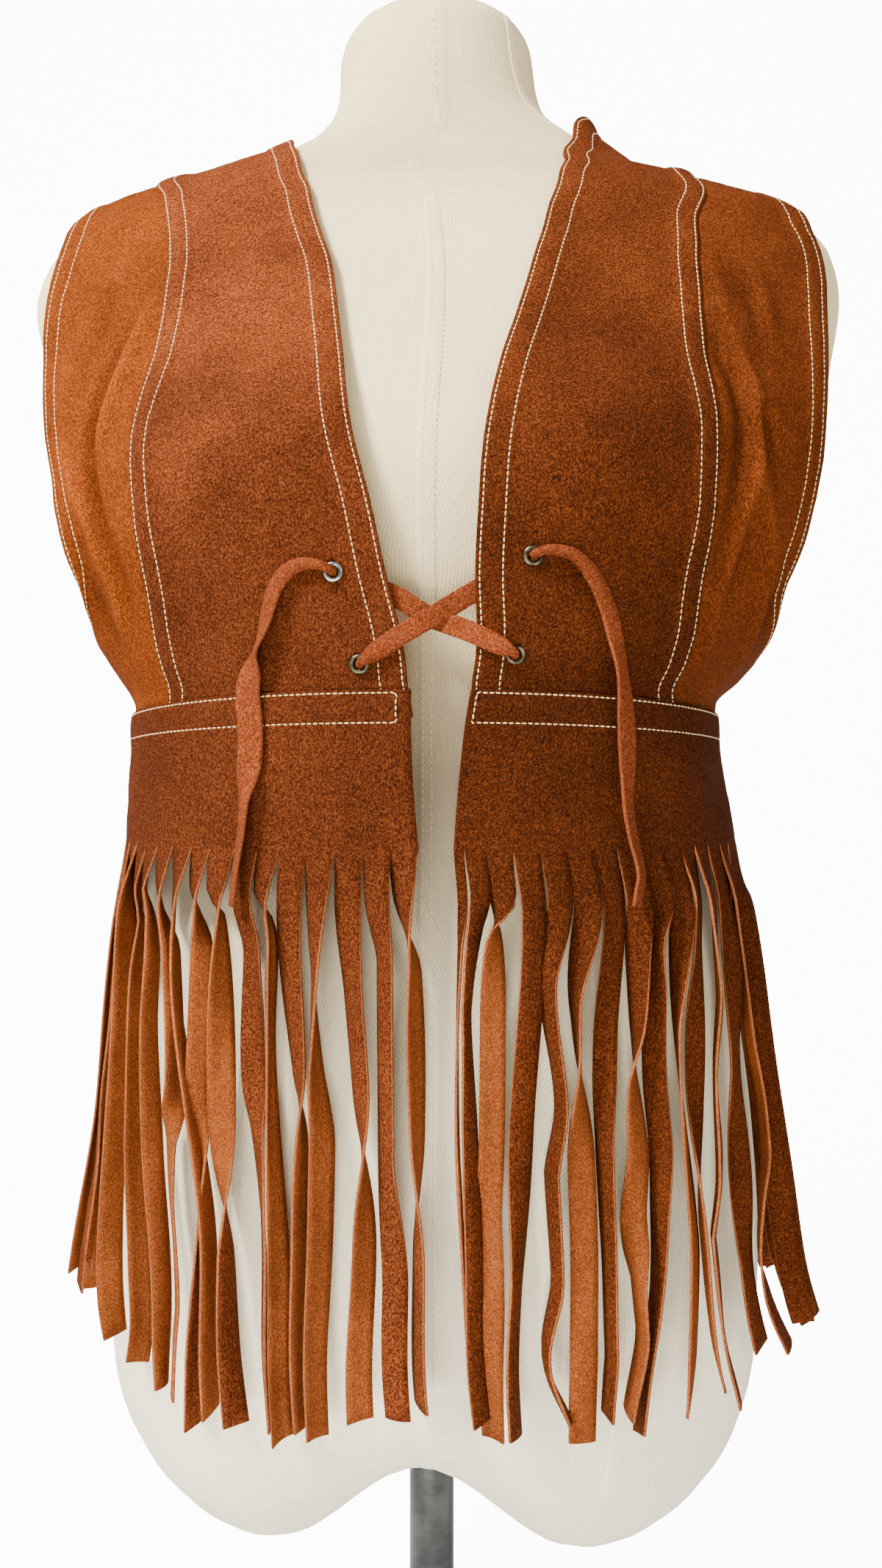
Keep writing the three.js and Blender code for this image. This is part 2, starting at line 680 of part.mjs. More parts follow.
function buildForm() {
  const around = 40;
  const angles = Array.from({ length: around }, (_, i) => (360 * i) / around);
  const foot = FORM_RINGS[0];
  const archAt = (x) => ARCH_RISE * Math.exp(-((x / ARCH_WIDTH) ** 2));
  // The underside: each ring is a share of the girdle's size, let down by its roundness.
  const under = (turn, angle) => {
    const point = formPoint(foot.z, angle);
    const radius = Math.sin(turn) ** (2 / LOBE_POWER);
    point.x = foot.centre + (point.x - foot.centre) * radius;
    point.y = foot.mid + (point.y - foot.mid) * radius;
    const fall = Math.cos(turn) ** (2 / LOBE_POWER);
    point.z = FORM_GIRDLE - (LOBE_DEPTH - archAt(point.x)) * fall;
    return point;
  };
  const rings = [];
  const turns = 9;
  for (let k = 1; k < turns; k += 1) {
    rings.push(angles.map((angle) => under((k / turns) * (Math.PI / 2), angle)));
  }
  for (const { z } of FORM_RINGS) {
    rings.push(angles.map((angle) => formPoint(z, angle)));
  }
  // The neck closes over a rounded top.
  const neck = FORM_RINGS.at(-1);
  const crown = NECK_TOP - neck.z;
  const roundness = (share) => 1 - Math.sqrt(1 - share ** 2);
  for (const share of CROWN.shares) {
    const size = 1 - CROWN.narrowing * (roundness(share) / roundness(CROWN.shares.at(-1)));
    rings.push(
      angles.map((angle) => {
        const point = formPoint(neck.z, angle);
        point.x = neck.centre + (point.x - neck.centre) * size;
        point.y = neck.mid + (point.y - neck.mid) * size;
        point.z = neck.z + crown * share;
        return point;
      }),
    );
  }
  const bottom = new THREE.Vector3(foot.centre, foot.mid, FORM_GIRDLE - LOBE_DEPTH + ARCH_RISE);
  const top = new THREE.Vector3(neck.centre, neck.mid, NECK_TOP);
  const socketTop = bottom.z + POLE_SOCKET;
  const bore = POLE_RADIUS + POLE_FIT;
  const cutter = new THREE.CylinderGeometry(bore, bore, 2 * POLE_SOCKET, 24);
  cutter.rotateX(Math.PI / 2);
  cutter.translate(0, 0, socketTop - POLE_SOCKET);
  add("form_torso", subtract(closedRings(rings, bottom, top), cutter), CANVAS_FINISH);
  return socketTop;
}

function buildStand(socketTop) {
  const seat = BASE_EDGE + SEAM_GAP;
  const height = socketTop - SEAM_GAP - seat;
  const pole = new THREE.CylinderGeometry(POLE_RADIUS, POLE_RADIUS, height, 24);
  pole.rotateX(Math.PI / 2);
  pole.translate(0, 0, seat + height / 2);
  add("pole", pole, STEEL_FINISH);
  const bore = POLE_RADIUS + POLE_FIT;
  const profile = [
    [0, 0],
    [BASE_RADIUS, 0],
    [BASE_RADIUS, BASE_EDGE - 1.5],
    [BASE_RADIUS - 1.5, BASE_EDGE],
    [HUB_RADIUS, BASE_EDGE],
    [HUB_RADIUS, HUB_HEIGHT - 1],
    [HUB_RADIUS - 1, HUB_HEIGHT],
    [bore, HUB_HEIGHT],
    [bore, BASE_EDGE],
    [0, BASE_EDGE],
  ].map(([radius, z]) => new THREE.Vector2(radius, z));
  const base = new THREE.LatheGeometry(profile, 36);
  base.rotateX(Math.PI / 2);
  add("base", base, STEEL_FINISH);
}

buildStand(buildForm());

export default part;
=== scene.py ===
# A fringed suede vest on a limbless canvas dress form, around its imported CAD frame.
# Metres, +Z up. The open front faces -Y and the wearer's left side is +X.

import math

import bmesh
import bpy
import numpy as np
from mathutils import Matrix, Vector


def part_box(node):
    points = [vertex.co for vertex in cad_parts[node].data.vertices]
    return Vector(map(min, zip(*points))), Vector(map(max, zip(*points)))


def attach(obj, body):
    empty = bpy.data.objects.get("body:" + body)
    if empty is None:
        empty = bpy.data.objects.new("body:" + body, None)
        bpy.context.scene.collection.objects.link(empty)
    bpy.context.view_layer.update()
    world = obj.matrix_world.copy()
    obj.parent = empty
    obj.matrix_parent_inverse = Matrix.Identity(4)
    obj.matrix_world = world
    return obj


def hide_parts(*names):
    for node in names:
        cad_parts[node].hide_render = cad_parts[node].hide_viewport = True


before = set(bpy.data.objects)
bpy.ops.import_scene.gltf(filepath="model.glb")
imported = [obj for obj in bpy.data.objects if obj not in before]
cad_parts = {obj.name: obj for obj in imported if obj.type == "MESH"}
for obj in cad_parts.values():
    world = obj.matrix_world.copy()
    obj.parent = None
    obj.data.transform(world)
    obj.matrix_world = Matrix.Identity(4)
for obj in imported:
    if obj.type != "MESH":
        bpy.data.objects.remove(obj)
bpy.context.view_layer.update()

# ---- Camera ---------------------------------------------------------------------------
# A plain portrait view, level with the vest's waist and a little to its left.


def add_object(name, data):
    """A new object of the scene, at the origin."""
    made = bpy.data.objects.new(name, data)
    bpy.context.scene.collection.objects.link(made)
    return made


camera_data = bpy.data.cameras.new("camera")
camera_data.sensor_width = 36
camera_data.lens = 24.96
camera_data.clip_start = 0.02
camera = add_object("camera", camera_data)
camera.location = (0.036, -0.591, 0.600)
camera.rotation_euler = (math.radians(90), 0, math.radians(3))
bpy.context.scene.camera = camera


# ---- Laces ----------------------------------------------------------------------------
# Two flat thongs of split suede. Each is knotted behind a lower eyelet, crosses the
# opening behind the other front, comes out of that front's upper eyelet gathered to its
# bore, and hangs to a bare cut end.

LACE_WIDTH = 0.0095
LACE_THICKNESS = 0.0015
LACE_SAMPLES = 170
LACE_COLUMNS = 9
# Half the width and half the depth of the chest that the laces lie round.
CHEST_HALF = (0.16, 0.12)
# How much paler on the ridges, and darker down the creases, the nap is painted: painted highlight
# and painted shade of the folds.
FOLD_PAINTED_SHADE_CONTRAST = 0.42

# The middle line of each lace, as the frame has it.
LACE_ROUTES = {
    "left": [
        (-0.024, -0.1196, 0.652), (-0.024, -0.1212, 0.652), (-0.024, -0.1228, 0.652),
        (-0.0228, -0.125, 0.6528), (-0.0195, -0.1256, 0.6552), (-0.013, -0.1244, 0.6596),
        (-0.006, -0.1238, 0.6642), (0.001, -0.1236, 0.6684), (0.007, -0.1228, 0.672),
        (0.013, -0.121, 0.6756), (0.019, -0.1188, 0.6796), (0.026, -0.1176, 0.6838),
        (0.035, -0.1174, 0.6886), (0.043, -0.1168, 0.6936), (0.048, -0.116, 0.6972),
        (0.0506, -0.117, 0.6986), (0.0511, -0.1193, 0.6985), (0.0512, -0.1217, 0.6982),
        (0.0513, -0.1244, 0.6979), (0.053, -0.127, 0.6986), (0.057, -0.1274, 0.6996),
        (0.0625, -0.1262, 0.6996), (0.0695, -0.1244, 0.6974), (0.0755, -0.122, 0.692),
        (0.08, -0.1193, 0.685), (0.0843, -0.1163, 0.675), (0.087, -0.1138, 0.6655),
        (0.0892, -0.112, 0.655), (0.0909, -0.1102, 0.645), (0.092, -0.1086, 0.6345),
        (0.0928, -0.1076, 0.624), (0.093, -0.1074, 0.6135), (0.093, -0.1078, 0.603),
        (0.093, -0.1082, 0.5925), (0.094, -0.1082, 0.584), (0.0956, -0.1078, 0.5755),
        (0.0977, -0.1076, 0.5675), (0.0989, -0.108, 0.5595), (0.0978, -0.1088, 0.5525),
        (0.0968, -0.1094, 0.546),
    ],
    "right": [
        (0.0434, -0.118, 0.6561), (0.0435, -0.1196, 0.656), (0.0436, -0.1212, 0.6559),
        (0.0429, -0.1235, 0.6566), (0.0396, -0.1249, 0.6582), (0.032, -0.1244, 0.6618),
        (0.025, -0.1236, 0.665), (0.019, -0.1218, 0.6676), (0.013, -0.12, 0.67),
        (0.007, -0.1188, 0.6724), (0, -0.118, 0.6764), (-0.007, -0.1176, 0.681),
        (-0.015, -0.1174, 0.6848), (-0.023, -0.1172, 0.6882), (-0.029, -0.1166, 0.6906),
        (-0.0332, -0.1162, 0.6918), (-0.0354, -0.1174, 0.6922), (-0.0357, -0.1196, 0.6921),
        (-0.0358, -0.1218, 0.692), (-0.036, -0.1242, 0.6922), (-0.0376, -0.1264, 0.693),
        (-0.0412, -0.127, 0.6942), (-0.0465, -0.1262, 0.695), (-0.0524, -0.1253, 0.694),
        (-0.0577, -0.1242, 0.6902), (-0.062, -0.1224, 0.6834), (-0.0646, -0.1208, 0.6754),
        (-0.0672, -0.1192, 0.6664), (-0.0704, -0.1178, 0.6576), (-0.0728, -0.1172, 0.6488),
        (-0.074, -0.1176, 0.6394), (-0.073, -0.1182, 0.6296), (-0.0726, -0.1182, 0.6196),
        (-0.073, -0.118, 0.61), (-0.0746, -0.1174, 0.6004), (-0.0758, -0.1168, 0.5904),
        (-0.0768, -0.1162, 0.5808), (-0.0783, -0.1156, 0.571), (-0.0796, -0.1154, 0.5626),
        (-0.0814, -0.1152, 0.546),
    ],
}

# How each thong lies along its route: the route's point, the share of its full width,
# how far it is gathered into a trough, how far it is turned from lying flat, both in
# degrees, and how far it stands off the route.
LACE_KEYS = {
    "left": [
        (0, 0.66, 290, 0, 0), (3, 0.68, 270, 0, 0), (4, 0.85, 150, 0, 0),
        (5.5, 0.95, 30, -8, 0), (8, 0.95, 10, 6, 0), (11, 0.95, 8, 0, 0), (13, 0.9, 90, 0, 0),
        (15, 0.66, 290, 0, 0), (18.5, 0.68, 280, 0, 0), (19.6, 0.66, 260, 4, 0),
        (21, 0.7, 220, 10, 0), (22.6, 0.8, 150, 4, 0), (24, 0.9, 60, -8, 0),
        (26, 1, 14, -18, 0), (27.2, 1, 12, -32, 0.0006), (30.3, 1, 8, -7, 0),
        (33, 0.96, 14, -32, 0.0006), (35.7, 0.92, 14, -36, 0.0006), (38, 0.9, 10, -36, 0.0006),
        (39, 0.86, 8, -34, 0.0006),
    ],
    "right": [
        (0, 0.66, 290, 0, 0), (3, 0.68, 270, 0, 0), (4, 0.85, 140, 0, 0),
        (5.5, 0.95, 25, 8, 0), (8, 0.95, 8, 0, 0), (12, 0.95, 8, 0, 0), (13.5, 0.9, 90, 0, 0),
        (15, 0.66, 290, 0, 0), (18.5, 0.68, 280, 0, 0), (20, 0.66, 270, -4, 0),
        (21.5, 0.72, 220, -14, 0), (23, 0.8, 150, -4, 0), (24.5, 0.9, 70, 14, 0),
        (26.4, 1, 18, 34, 0.0006), (28, 1, 12, 54, 0.0014), (29.2, 1.1, 6, -6, 0),
        (31, 1.16, 4, -24, 0), (33.3, 1.12, 6, -16, 0), (34.8, 1, 14, 40, 0.0008),
        (36.5, 0.95, 16, 44, 0.001), (38, 0.85, 12, 46, 0.001), (39, 0.6, 8, 46, 0.001),
    ],
}


def paint(red, green, blue):
    """A colour given as it is read off a swatch, made linear."""
    def linear(value):
        value /= 255
        return value / 12.92 if value <= 0.04045 else ((value + 0.055) / 1.055) ** 2.4
    return (linear(red), linear(green), linear(blue), 1)


def fill(made, inputs):
    """Links or sets the inputs of a node, which are given by name or by number."""
    for key, value in inputs.items():
        if isinstance(value, bpy.types.NodeSocket):
            made.id_data.links.new(value, made.inputs[key])
        else:
            made.inputs[key].default_value = value


def node(tree, kind, inputs=None, **settings):
    """A node of a tree with its settings and its inputs."""
    made = tree.nodes.new(kind)
    for name, value in settings.items():
        setattr(made, name, value)
    fill(made, inputs or {})
    return made


def maths(tree, operation, *values):
    """The result of a math node on numbers or sockets."""
    return node(tree, "ShaderNodeMath", dict(enumerate(values)),
                operation=operation).outputs[0]


def noise(tree, vector, scale, detail=2, roughness=0.5):
    """The value of a noise."""
    return node(tree, "ShaderNodeTexNoise", {
        "Vector": vector, "Scale": scale, "Detail": detail,
        "Roughness": roughness}).outputs[0]


def spread(tree, value, low, high, to_low=0.0, to_high=1.0):
    """A value between low and high, spread out between two others."""
    return node(tree, "ShaderNodeMapRange", {
        "Value": value, "From Min": low, "From Max": high, "To Min": to_low,
        "To Max": to_high}).outputs[0]


def relief(tree, height, distance, strength):
    """The normal of a fine relief."""
    return node(tree, "ShaderNodeBump", {
        "Height": height, "Distance": distance, "Strength": strength}).outputs[0]


def ramp(tree, factor, stops):
    """A colour ramp with (place, colour) stops."""
    made = node(tree, "ShaderNodeValToRGB", {"Fac": factor})
    elements = made.color_ramp.elements
    while len(elements) < len(stops):
        elements.new(0.5)
    for element, (place, colour) in zip(elements, stops):
        element.position = place
        element.color = colour if isinstance(colour, tuple) else (colour, colour, colour, 1)
    return made.outputs["Color"]


def multiplied(tree, first, second):
    """One colour multiplied by another, through the colour sockets of a mix node."""
    made = node(tree, "ShaderNodeMix", {0: 1.0, 6: first, 7: second},
                data_type="RGBA", blend_type="MULTIPLY")
    return made.outputs[2]


def material(name):
    """An empty material: its tree, its shader and its object coordinates."""
    made = bpy.data.materials.new(name)
    made.use_nodes = True
    tree = made.node_tree
    shader = tree.nodes["Principled BSDF"]
    place = node(tree, "ShaderNodeTexCoord").outputs["Object"]
    return made, tree, shader, place


def node_group(name, kind, inputs, outputs):
    """An empty node group and what it is given. Each socket has a name and a type."""
    group = bpy.data.node_groups.new(name, kind)
    for way, sockets in (("INPUT", inputs), ("OUTPUT", outputs)):
        for label, value in sockets:
            group.interface.new_socket(label, in_out=way, socket_type="NodeSocket" + value)
    return group, node(group, "NodeGroupInput").outputs


def nap_group():
    """The nap of suede: fibre speckle, soft clouds where it is brushed, and its height."""
    group, given = node_group(
        "suede nap", "ShaderNodeTree", [("Vector", "Vector"), ("Fibre scale", "Float")],
        [("Speckle", "Float"), ("Cloud", "Float"), ("Height", "Float")])
    stretched = node(group, "ShaderNodeMapping", {
        "Vector": given["Vector"], "Scale": (1, 1, 0.72)}).outputs[0]
    fibres = noise(group, stretched, given["Fibre scale"], 2, 0.6)
    clouds = noise(group, given["Vector"], 17, 4, 0.62)
    node(group, "NodeGroupOutput", {
        "Speckle": spread(group, fibres, 0.33, 0.69),
        "Cloud": spread(group, clouds, 0.34, 0.66), "Height": fibres})
    return group


NAP = nap_group()


def suede(name, dark, middle, light, fibre_scale, depth, painted_shade_by_height=None):
    """Napped leather in three swatch colours of its fibres, from dark to light.

    Where a ramp of heights is given, it is painted shade: how much darker the nap is made at
    heights up the piece.
    The nap is painted paler on the ridges and darker down the creases of a mesh that
    carries a fold attribute from -1 to 1: painted highlight and painted shade.
    """
    made, tree, shader, place = material(name)
    nap = node(tree, "ShaderNodeGroup", {"Vector": place, "Fibre scale": fibre_scale},
               node_tree=NAP).outputs
    fibre = ramp(tree, nap["Speckle"], [
        (0, paint(*dark)), (0.45, paint(*middle)), (1, paint(*light))])
    brushed = ramp(tree, nap["Cloud"], [(0, 0.76), (0.5, 0.95), (1, 1.16)])
    tone = multiplied(tree, fibre, brushed)
    # Painted shade: the nap darkens by height up the piece.
    if painted_shade_by_height:
        up = node(tree, "ShaderNodeSeparateXYZ", {0: place}).outputs["Z"]
        up = maths(tree, "MULTIPLY_ADD", nap["Cloud"], 0.04, up)
        tone = multiplied(tree, tone, ramp(tree, up, painted_shade_by_height))
    # Painted highlight on the ridges of folds and painted shade down their creases.
    painted_fold_shade = node(tree, "ShaderNodeAttribute", attribute_name="painted_fold_shade").outputs["Fac"]
    painted_fold_light = maths(tree, "MULTIPLY_ADD", painted_fold_shade, FOLD_PAINTED_SHADE_CONTRAST, 1.0)
    fill(shader, {
        "Base Color": multiplied(tree, tone, painted_fold_light),
        "Normal": relief(tree, nap["Height"], depth, 0.85),
        "Roughness": 0.93, "Specular IOR Level": 0.04, "Sheen Weight": 0.03,
        "Sheen Roughness": 0.5, "Sheen Tint": paint(*light)})
    return made


def smooth_line(points, stations):
    """Places on a Catmull-Rom curve through points, at stations counted in points."""
    points = np.asarray(points, float)
    last = len(points) - 1
    padded = np.vstack([2 * points[0] - points[1], points, 2 * points[-1] - points[-2]])
    low = np.clip(np.floor(stations).astype(int), 0, last - 1)
    t = (stations - low)[:, None]
    a, b, c, d = (padded[low + k] for k in range(4))
    return 0.5 * (2 * b + (c - a) * t + (2 * a - 5 * b + 4 * c - d) * t ** 2
                  + (3 * b - a - 3 * c + d) * t ** 3)


def ease(keys, at):
    """Columns of a key table read at places between its rows, with smooth turns."""
    keys = np.asarray(keys, float)
    at = np.clip(at, keys[0, 0], keys[-1, 0])
    slopes = np.gradient(keys[:, 1:], keys[:, 0], axis=0)
    low = np.clip(np.searchsorted(keys[:, 0], at, side="right") - 1, 0, len(keys) - 2)
    span = (keys[low + 1, 0] - keys[low, 0])[:, None]
    t = ((at - keys[low, 0])[:, None]) / span
    rise = keys[low + 1, 1:] - keys[low, 1:]
    limit = np.abs(rise) * 1.5 / span
    before = np.clip(slopes[low], -limit, limit)
    after = np.clip(slopes[low + 1], -limit, limit)
    return (keys[low, 1:] + t ** 2 * (3 - 2 * t) * rise
            + span * (t ** 3 - 2 * t ** 2 + t) * before + span * (t ** 3 - t ** 2) * after)


def unit(vectors):
    """Vectors made one long."""
    return vectors / np.linalg.norm(vectors, axis=-1, keepdims=True)


def plain_mesh(name, points, faces, slots, materials, smooth=True):
    """A mesh object at the origin, with a material index for each face."""
    mesh = bpy.data.meshes.new(name)
    mesh.from_pydata([tuple(p) for p in np.asarray(points)], [], faces)
    for finish in materials:
        mesh.materials.append(finish)
    mesh.polygons.foreach_set("material_index", slots)
    mesh.polygons.foreach_set("use_smooth", [smooth] * len(faces))
    mesh.update()
    return add_object(name, mesh)


def face_outwards(piece):
    """Turns a closed mesh so that its volume is positive."""
    work = bmesh.new()
    work.from_mesh(piece.data)
    if work.calc_volume(signed=True) < 0:
        bmesh.ops.reverse_faces(work, faces=work.faces)
        work.to_mesh(piece.data)
    work.free()


def ring_faces(rings, count):
    """Faces round a stack of rings that have the same count of corners."""
    return [(j * count + i, j * count + k, (j + 1) * count + k, (j + 1) * count + i)
            for j in range(rings - 1) for i, k in enumerate([*range(1, count), 0])]


def ring_strip(name, rings, materials, side_slots):
    """A closed body of equal rings with flat ends. side_slots gives each side's slot."""
    rings = np.asarray(rings)
    count = rings.shape[1]
    faces = ring_faces(len(rings), count)
    for first in (0, (len(rings) - 1) * count):
        for i in range(count // 2 - 1):
            a, b, c, d = (first + corner for corner in (i, i + 1, count - 2 - i, count - 1 - i))
            faces.append((a, b, c, d) if first else (a, d, c, b))
    slots = side_slots * (len(rings) - 1)
    slots += [side_slots[count // 2 - 1]] * (len(faces) - len(slots))
    piece = plain_mesh(name, rings.reshape(-1, 3), faces, slots, materials)
    face_outwards(piece)
    return piece


def trough(width, gather, thickness, columns):
    """Section of a thong: across and outward places of its face, then of its back."""
    places = np.linspace(-0.5, 0.5, columns)
    bend = math.radians(max(gather, 0.5))
    radius = width / bend
    middle = radius * math.sin(bend / 2) / (bend / 2)
    section = []
    for rows, order in ((radius + thickness / 2, 1), (radius - thickness / 2, -1)):
        across = rows * np.sin(bend * places)
        out = rows * np.cos(bend * places) - middle
        section += list(zip(across, out))[::order]
    return np.array(section)


LACE_FACE = suede("lace suede", (76, 32, 14), (104, 46, 21), (142, 72, 38), 1300, 0.0004)
LACE_EDGE = suede("lace cut edge", (92, 42, 19), (117, 56, 29), (150, 84, 50), 1600, 0.0003)

lace_pieces = {}
for word, route in LACE_ROUTES.items():
    stations = np.linspace(0, len(route) - 1, LACE_SAMPLES)
    middle_line = smooth_line(route, stations)
    along = unit(np.gradient(middle_line, axis=0))
    proud = unit(middle_line * (1 / CHEST_HALF[0] ** 2, 1 / CHEST_HALF[1] ** 2, 0))
    across = unit(np.cross(proud, along))
    proud = np.cross(along, across)
    lace_rings = []
    for k, (share, gather, turn, stand) in enumerate(ease(LACE_KEYS[word], stations)):
        section = trough(LACE_WIDTH * share, gather, LACE_THICKNESS, LACE_COLUMNS)
        angle = math.radians(turn)
        side = across[k] * math.cos(angle) + proud[k] * math.sin(angle)
        face = proud[k] * math.cos(angle) - across[k] * math.sin(angle)
        centre = middle_line[k] + proud[k] * stand
        lace_rings.append(centre + section[:, :1] * side + section[:, 1:] * face)
    sides = [0] * (LACE_COLUMNS - 1) + [1] + [0] * (LACE_COLUMNS - 1) + [1]
    lace = ring_strip(f"lace_{word}_thong", lace_rings, [LACE_FACE, LACE_EDGE], sides)
    length = float(np.linalg.norm(np.diff(middle_line, axis=0), axis=1).sum())
    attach(lace, "root")
    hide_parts(f"lace_{word}")
    lace_pieces[word] = (lace, route, round(length, 3))

# The knots behind the lower eyelets, three rounded lobes of the same thong drawn tight.
for word in LACE_ROUTES:
    low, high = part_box(f"lace_knot_{word}")
    centre, size = (low + high) / 2, (high - low) / 2
    work = bmesh.new()
    bmesh.ops.create_icosphere(work, subdivisions=4, radius=1)
    for corner in work.verts:
        lobe = 1 - 0.14 * math.cos(3 * math.atan2(corner.co.z, corner.co.x)) ** 2
        groove = 1 - 0.1 * math.exp(-((corner.co.y - 0.25 * corner.co.x) / 0.12) ** 2)
        corner.co = centre + Vector(
            [axis * half * lobe * groove for axis, half in zip(corner.co, size)])
    mesh = bpy.data.meshes.new(f"lace_knot_{word}_drawn")
    work.to_mesh(mesh)
    work.free()
    mesh.materials.append(LACE_FACE)
    mesh.shade_smooth()
    knot = add_object(mesh.name, mesh)
    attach(knot, "root")
    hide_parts(f"lace_knot_{word}")
    lace, route, length = lace_pieces[word]


# ---- Eyelets --------------------------------------------------------------------------
# Four two-part eyelets, rolled over on the suede's face and spread behind it. The upper
# one on the wearer's right is bright nickel, and the others are dulled brass.

# The height and angle of each, on the vest's outer face.
EYELETS = {
    "right_upper": (0.692, -8.5), "right_lower": (0.652, -6),
    "left_upper": (0.698, 12.8), "left_lower": (0.656, 12.8),
}

# The vest's outer face: height, centre, middle, half width, depth to the front and to
# the back, and squareness.
VEST_RINGS = [
    (0.56, 0, 0, 0.159, 0.12, 0.123, 2.3), (0.605, -0.003, 0, 0.155, 0.121, 0.118, 2.3),
    (0.641, -0.003, 0, 0.153, 0.121, 0.114, 2.3),
    (0.655, -0.001, 0, 0.164, 0.122, 0.112, 2.3), (0.67, 0, 0, 0.175, 0.122, 0.111, 2.3),
    (0.69, 0, 0, 0.186, 0.122, 0.112, 2.3), (0.715, 0, 0, 0.196, 0.122, 0.114, 2.3),
    (0.745, 0, 0.001, 0.203, 0.121, 0.118, 2.3),
    (0.78, 0.001, 0.002, 0.209, 0.113, 0.122, 2.3),
    (0.815, 0.002, 0.004, 0.214, 0.098, 0.122, 2.3),
    (0.85, 0.002, 0.006, 0.217, 0.083, 0.118, 2.25),
    (0.88, 0, 0.008, 0.213, 0.07, 0.108, 2.2), (0.9, -0.002, 0.009, 0.203, 0.061, 0.098, 2.15),
    (0.915, -0.009, 0.01, 0.176, 0.054, 0.088, 2.1),
    (0.928, -0.009, 0.01, 0.133, 0.048, 0.078, 2), (0.94, 0.001, 0.01, 0.104, 0.044, 0.072, 2),
    (0.95, 0.007, 0.01, 0.086, 0.042, 0.066, 2), (0.96, 0.012, 0.01, 0.075, 0.04, 0.061, 2),
    (0.97, 0.014, 0.01, 0.063, 0.038, 0.057, 2),
]
BUST_X, BUST_Z, BUST_RISE = 0.084, 0.742, 0.013
BUST_HALF_WIDTH, BUST_HALF_HEIGHT = 0.048, 0.046


def read_table(rows, at):
    """All columns of a table at values of its first one, on the cubic through its rows."""
    rows = np.asarray(rows, float)
    keys = rows[:, 0]
    at = np.clip(np.asarray(at, float), keys[0], keys[-1])
    low = np.clip(np.searchsorted(keys, at, side="right") - 1, 0, len(keys) - 2)
    order = np.arange(len(keys))
    before, after = np.maximum(order - 1, 0), np.minimum(order + 1, len(keys) - 1)
    slopes = (rows[after] - rows[before]) / (keys[after] - keys[before])[:, None]
    span = (keys[low + 1] - keys[low])[..., None]
    t = (at - keys[low])[..., None] / span
    return ((2 * t ** 3 - 3 * t ** 2 + 1) * rows[low]
            + (t ** 3 - 2 * t ** 2 + t) * span * slopes[low]
            + (3 * t ** 2 - 2 * t ** 3) * rows[low + 1]
            + (t ** 3 - t ** 2) * span * slopes[low + 1])


def ring_point(rings, z, angle):
    """Points on rings: angle 0 is the front, and 90 the wearer's left side."""
    z, angle = np.broadcast_arrays(np.asarray(z, float), np.radians(angle))
    columns = np.moveaxis(read_table(rings, z), -1, 0)
    centre, middle, half_width, front, back, power = columns[1:]
    sine, cosine = np.sin(angle), np.cos(angle)
    across = np.sign(sine) * np.abs(sine) ** (2 / power)
    forward = np.sign(cosine) * np.abs(cosine) ** (2 / power)
    depth = np.where(forward > 0, front, back)
    return np.stack([centre + half_width * across, middle - depth * forward, z], axis=-1)


def vest_point(z, angle):
    """Points of the vest's outer face, rounded out over the bust."""
    point = ring_point(VEST_RINGS, z, angle)
    forward = np.cos(np.radians(angle))
    across = (np.abs(point[..., 0]) - BUST_X) / BUST_HALF_WIDTH
    up = (point[..., 2] - BUST_Z) / BUST_HALF_HEIGHT
    point[..., 1] -= (BUST_RISE * np.exp(-across ** 2 - up ** 2)
                      * np.clip(3 * forward, 0, 1))
    return point


def outward(surface, z, angle):
    """The outward direction of a surface at places on it."""
    round_it = surface(z, angle + 0.5) - surface(z, angle - 0.5)
    up_it = surface(z + 0.0005, angle) - surface(z - 0.0005, angle)
    return unit(np.cross(round_it, up_it))


def turned(name, profile, materials, segments=64, foot=(0, 0, 0), axis=(0, 0, 1)):
    """A closed profile of (radius, height) turned about an axis through foot."""
    axis = Vector(axis).normalized()
    turn = Vector((0, 0, 1)).rotation_difference(axis).to_matrix()
    places = []
    for k in range(segments):
        angle = 2 * math.pi * k / segments
        for radius, height in profile:
            place = Vector((radius * math.cos(angle), radius * math.sin(angle), height))
            places.append(turn @ place + Vector(foot))
    count = len(profile)
    faces = []
    for k in range(segments):
        other = (k + 1) % segments
        for i in range(count):
            j = (i + 1) % count
            faces.append((k * count + i, other * count + i, other * count + j, k * count + j))
    piece = plain_mesh(name, places, faces, [0] * len(faces), materials)
    work = bmesh.new()
    work.from_mesh(piece.data)
    bmesh.ops.remove_doubles(work, verts=work.verts, dist=1e-7)
    bmesh.ops.dissolve_degenerate(work, dist=1e-7, edges=work.edges)
    work.to_mesh(piece.data)
    work.free()
    face_outwards(piece)
    return piece


def wear_group():
    """Wear of bare metal: dull patches, and fine scratches drawn out along its brushing."""
    group, given = node_group(
        "metal wear", "ShaderNodeTree",
        [("Vector", "Vector"), ("Patch scale", "Float"), ("Brush", "Vector")],
        [("Patches", "Float"), ("Scratches", "Float")])
    drawn = node(group, "ShaderNodeVectorMath", {
        0: given["Vector"], 1: given["Brush"]}, operation="MULTIPLY").outputs[0]
    node(group, "NodeGroupOutput", {
        "Patches": noise(group, given["Vector"], given["Patch scale"], 5),
        "Scratches": noise(group, drawn, 1, 3)})
    return group


WEAR = wear_group()


def metal(name, worn, clean, patch_scale, brush, roughness):
    """Bare metal from a worn to a clean swatch colour, with a brushed or scratched face."""
    made, tree, shader, place = material(name)
    wear = node(tree, "ShaderNodeGroup", {
        "Vector": place, "Patch scale": patch_scale, "Brush": brush}, node_tree=WEAR).outputs
    tone = ramp(tree, wear["Patches"], [(0.38, paint(*worn)), (0.6, paint(*clean))])
    streak = ramp(tree, wear["Scratches"], [(0.3, 0.82), (0.7, 1.0)])
    rough = spread(tree, wear["Scratches"], 0.3, 0.7, roughness - 0.07, roughness + 0.1)
    fill(shader, {
        "Base Color": multiplied(tree, tone, streak), "Roughness": rough, "Metallic": 1,
        "Normal": relief(tree, wear["Scratches"], 0.00006, 0.6)})
    return made


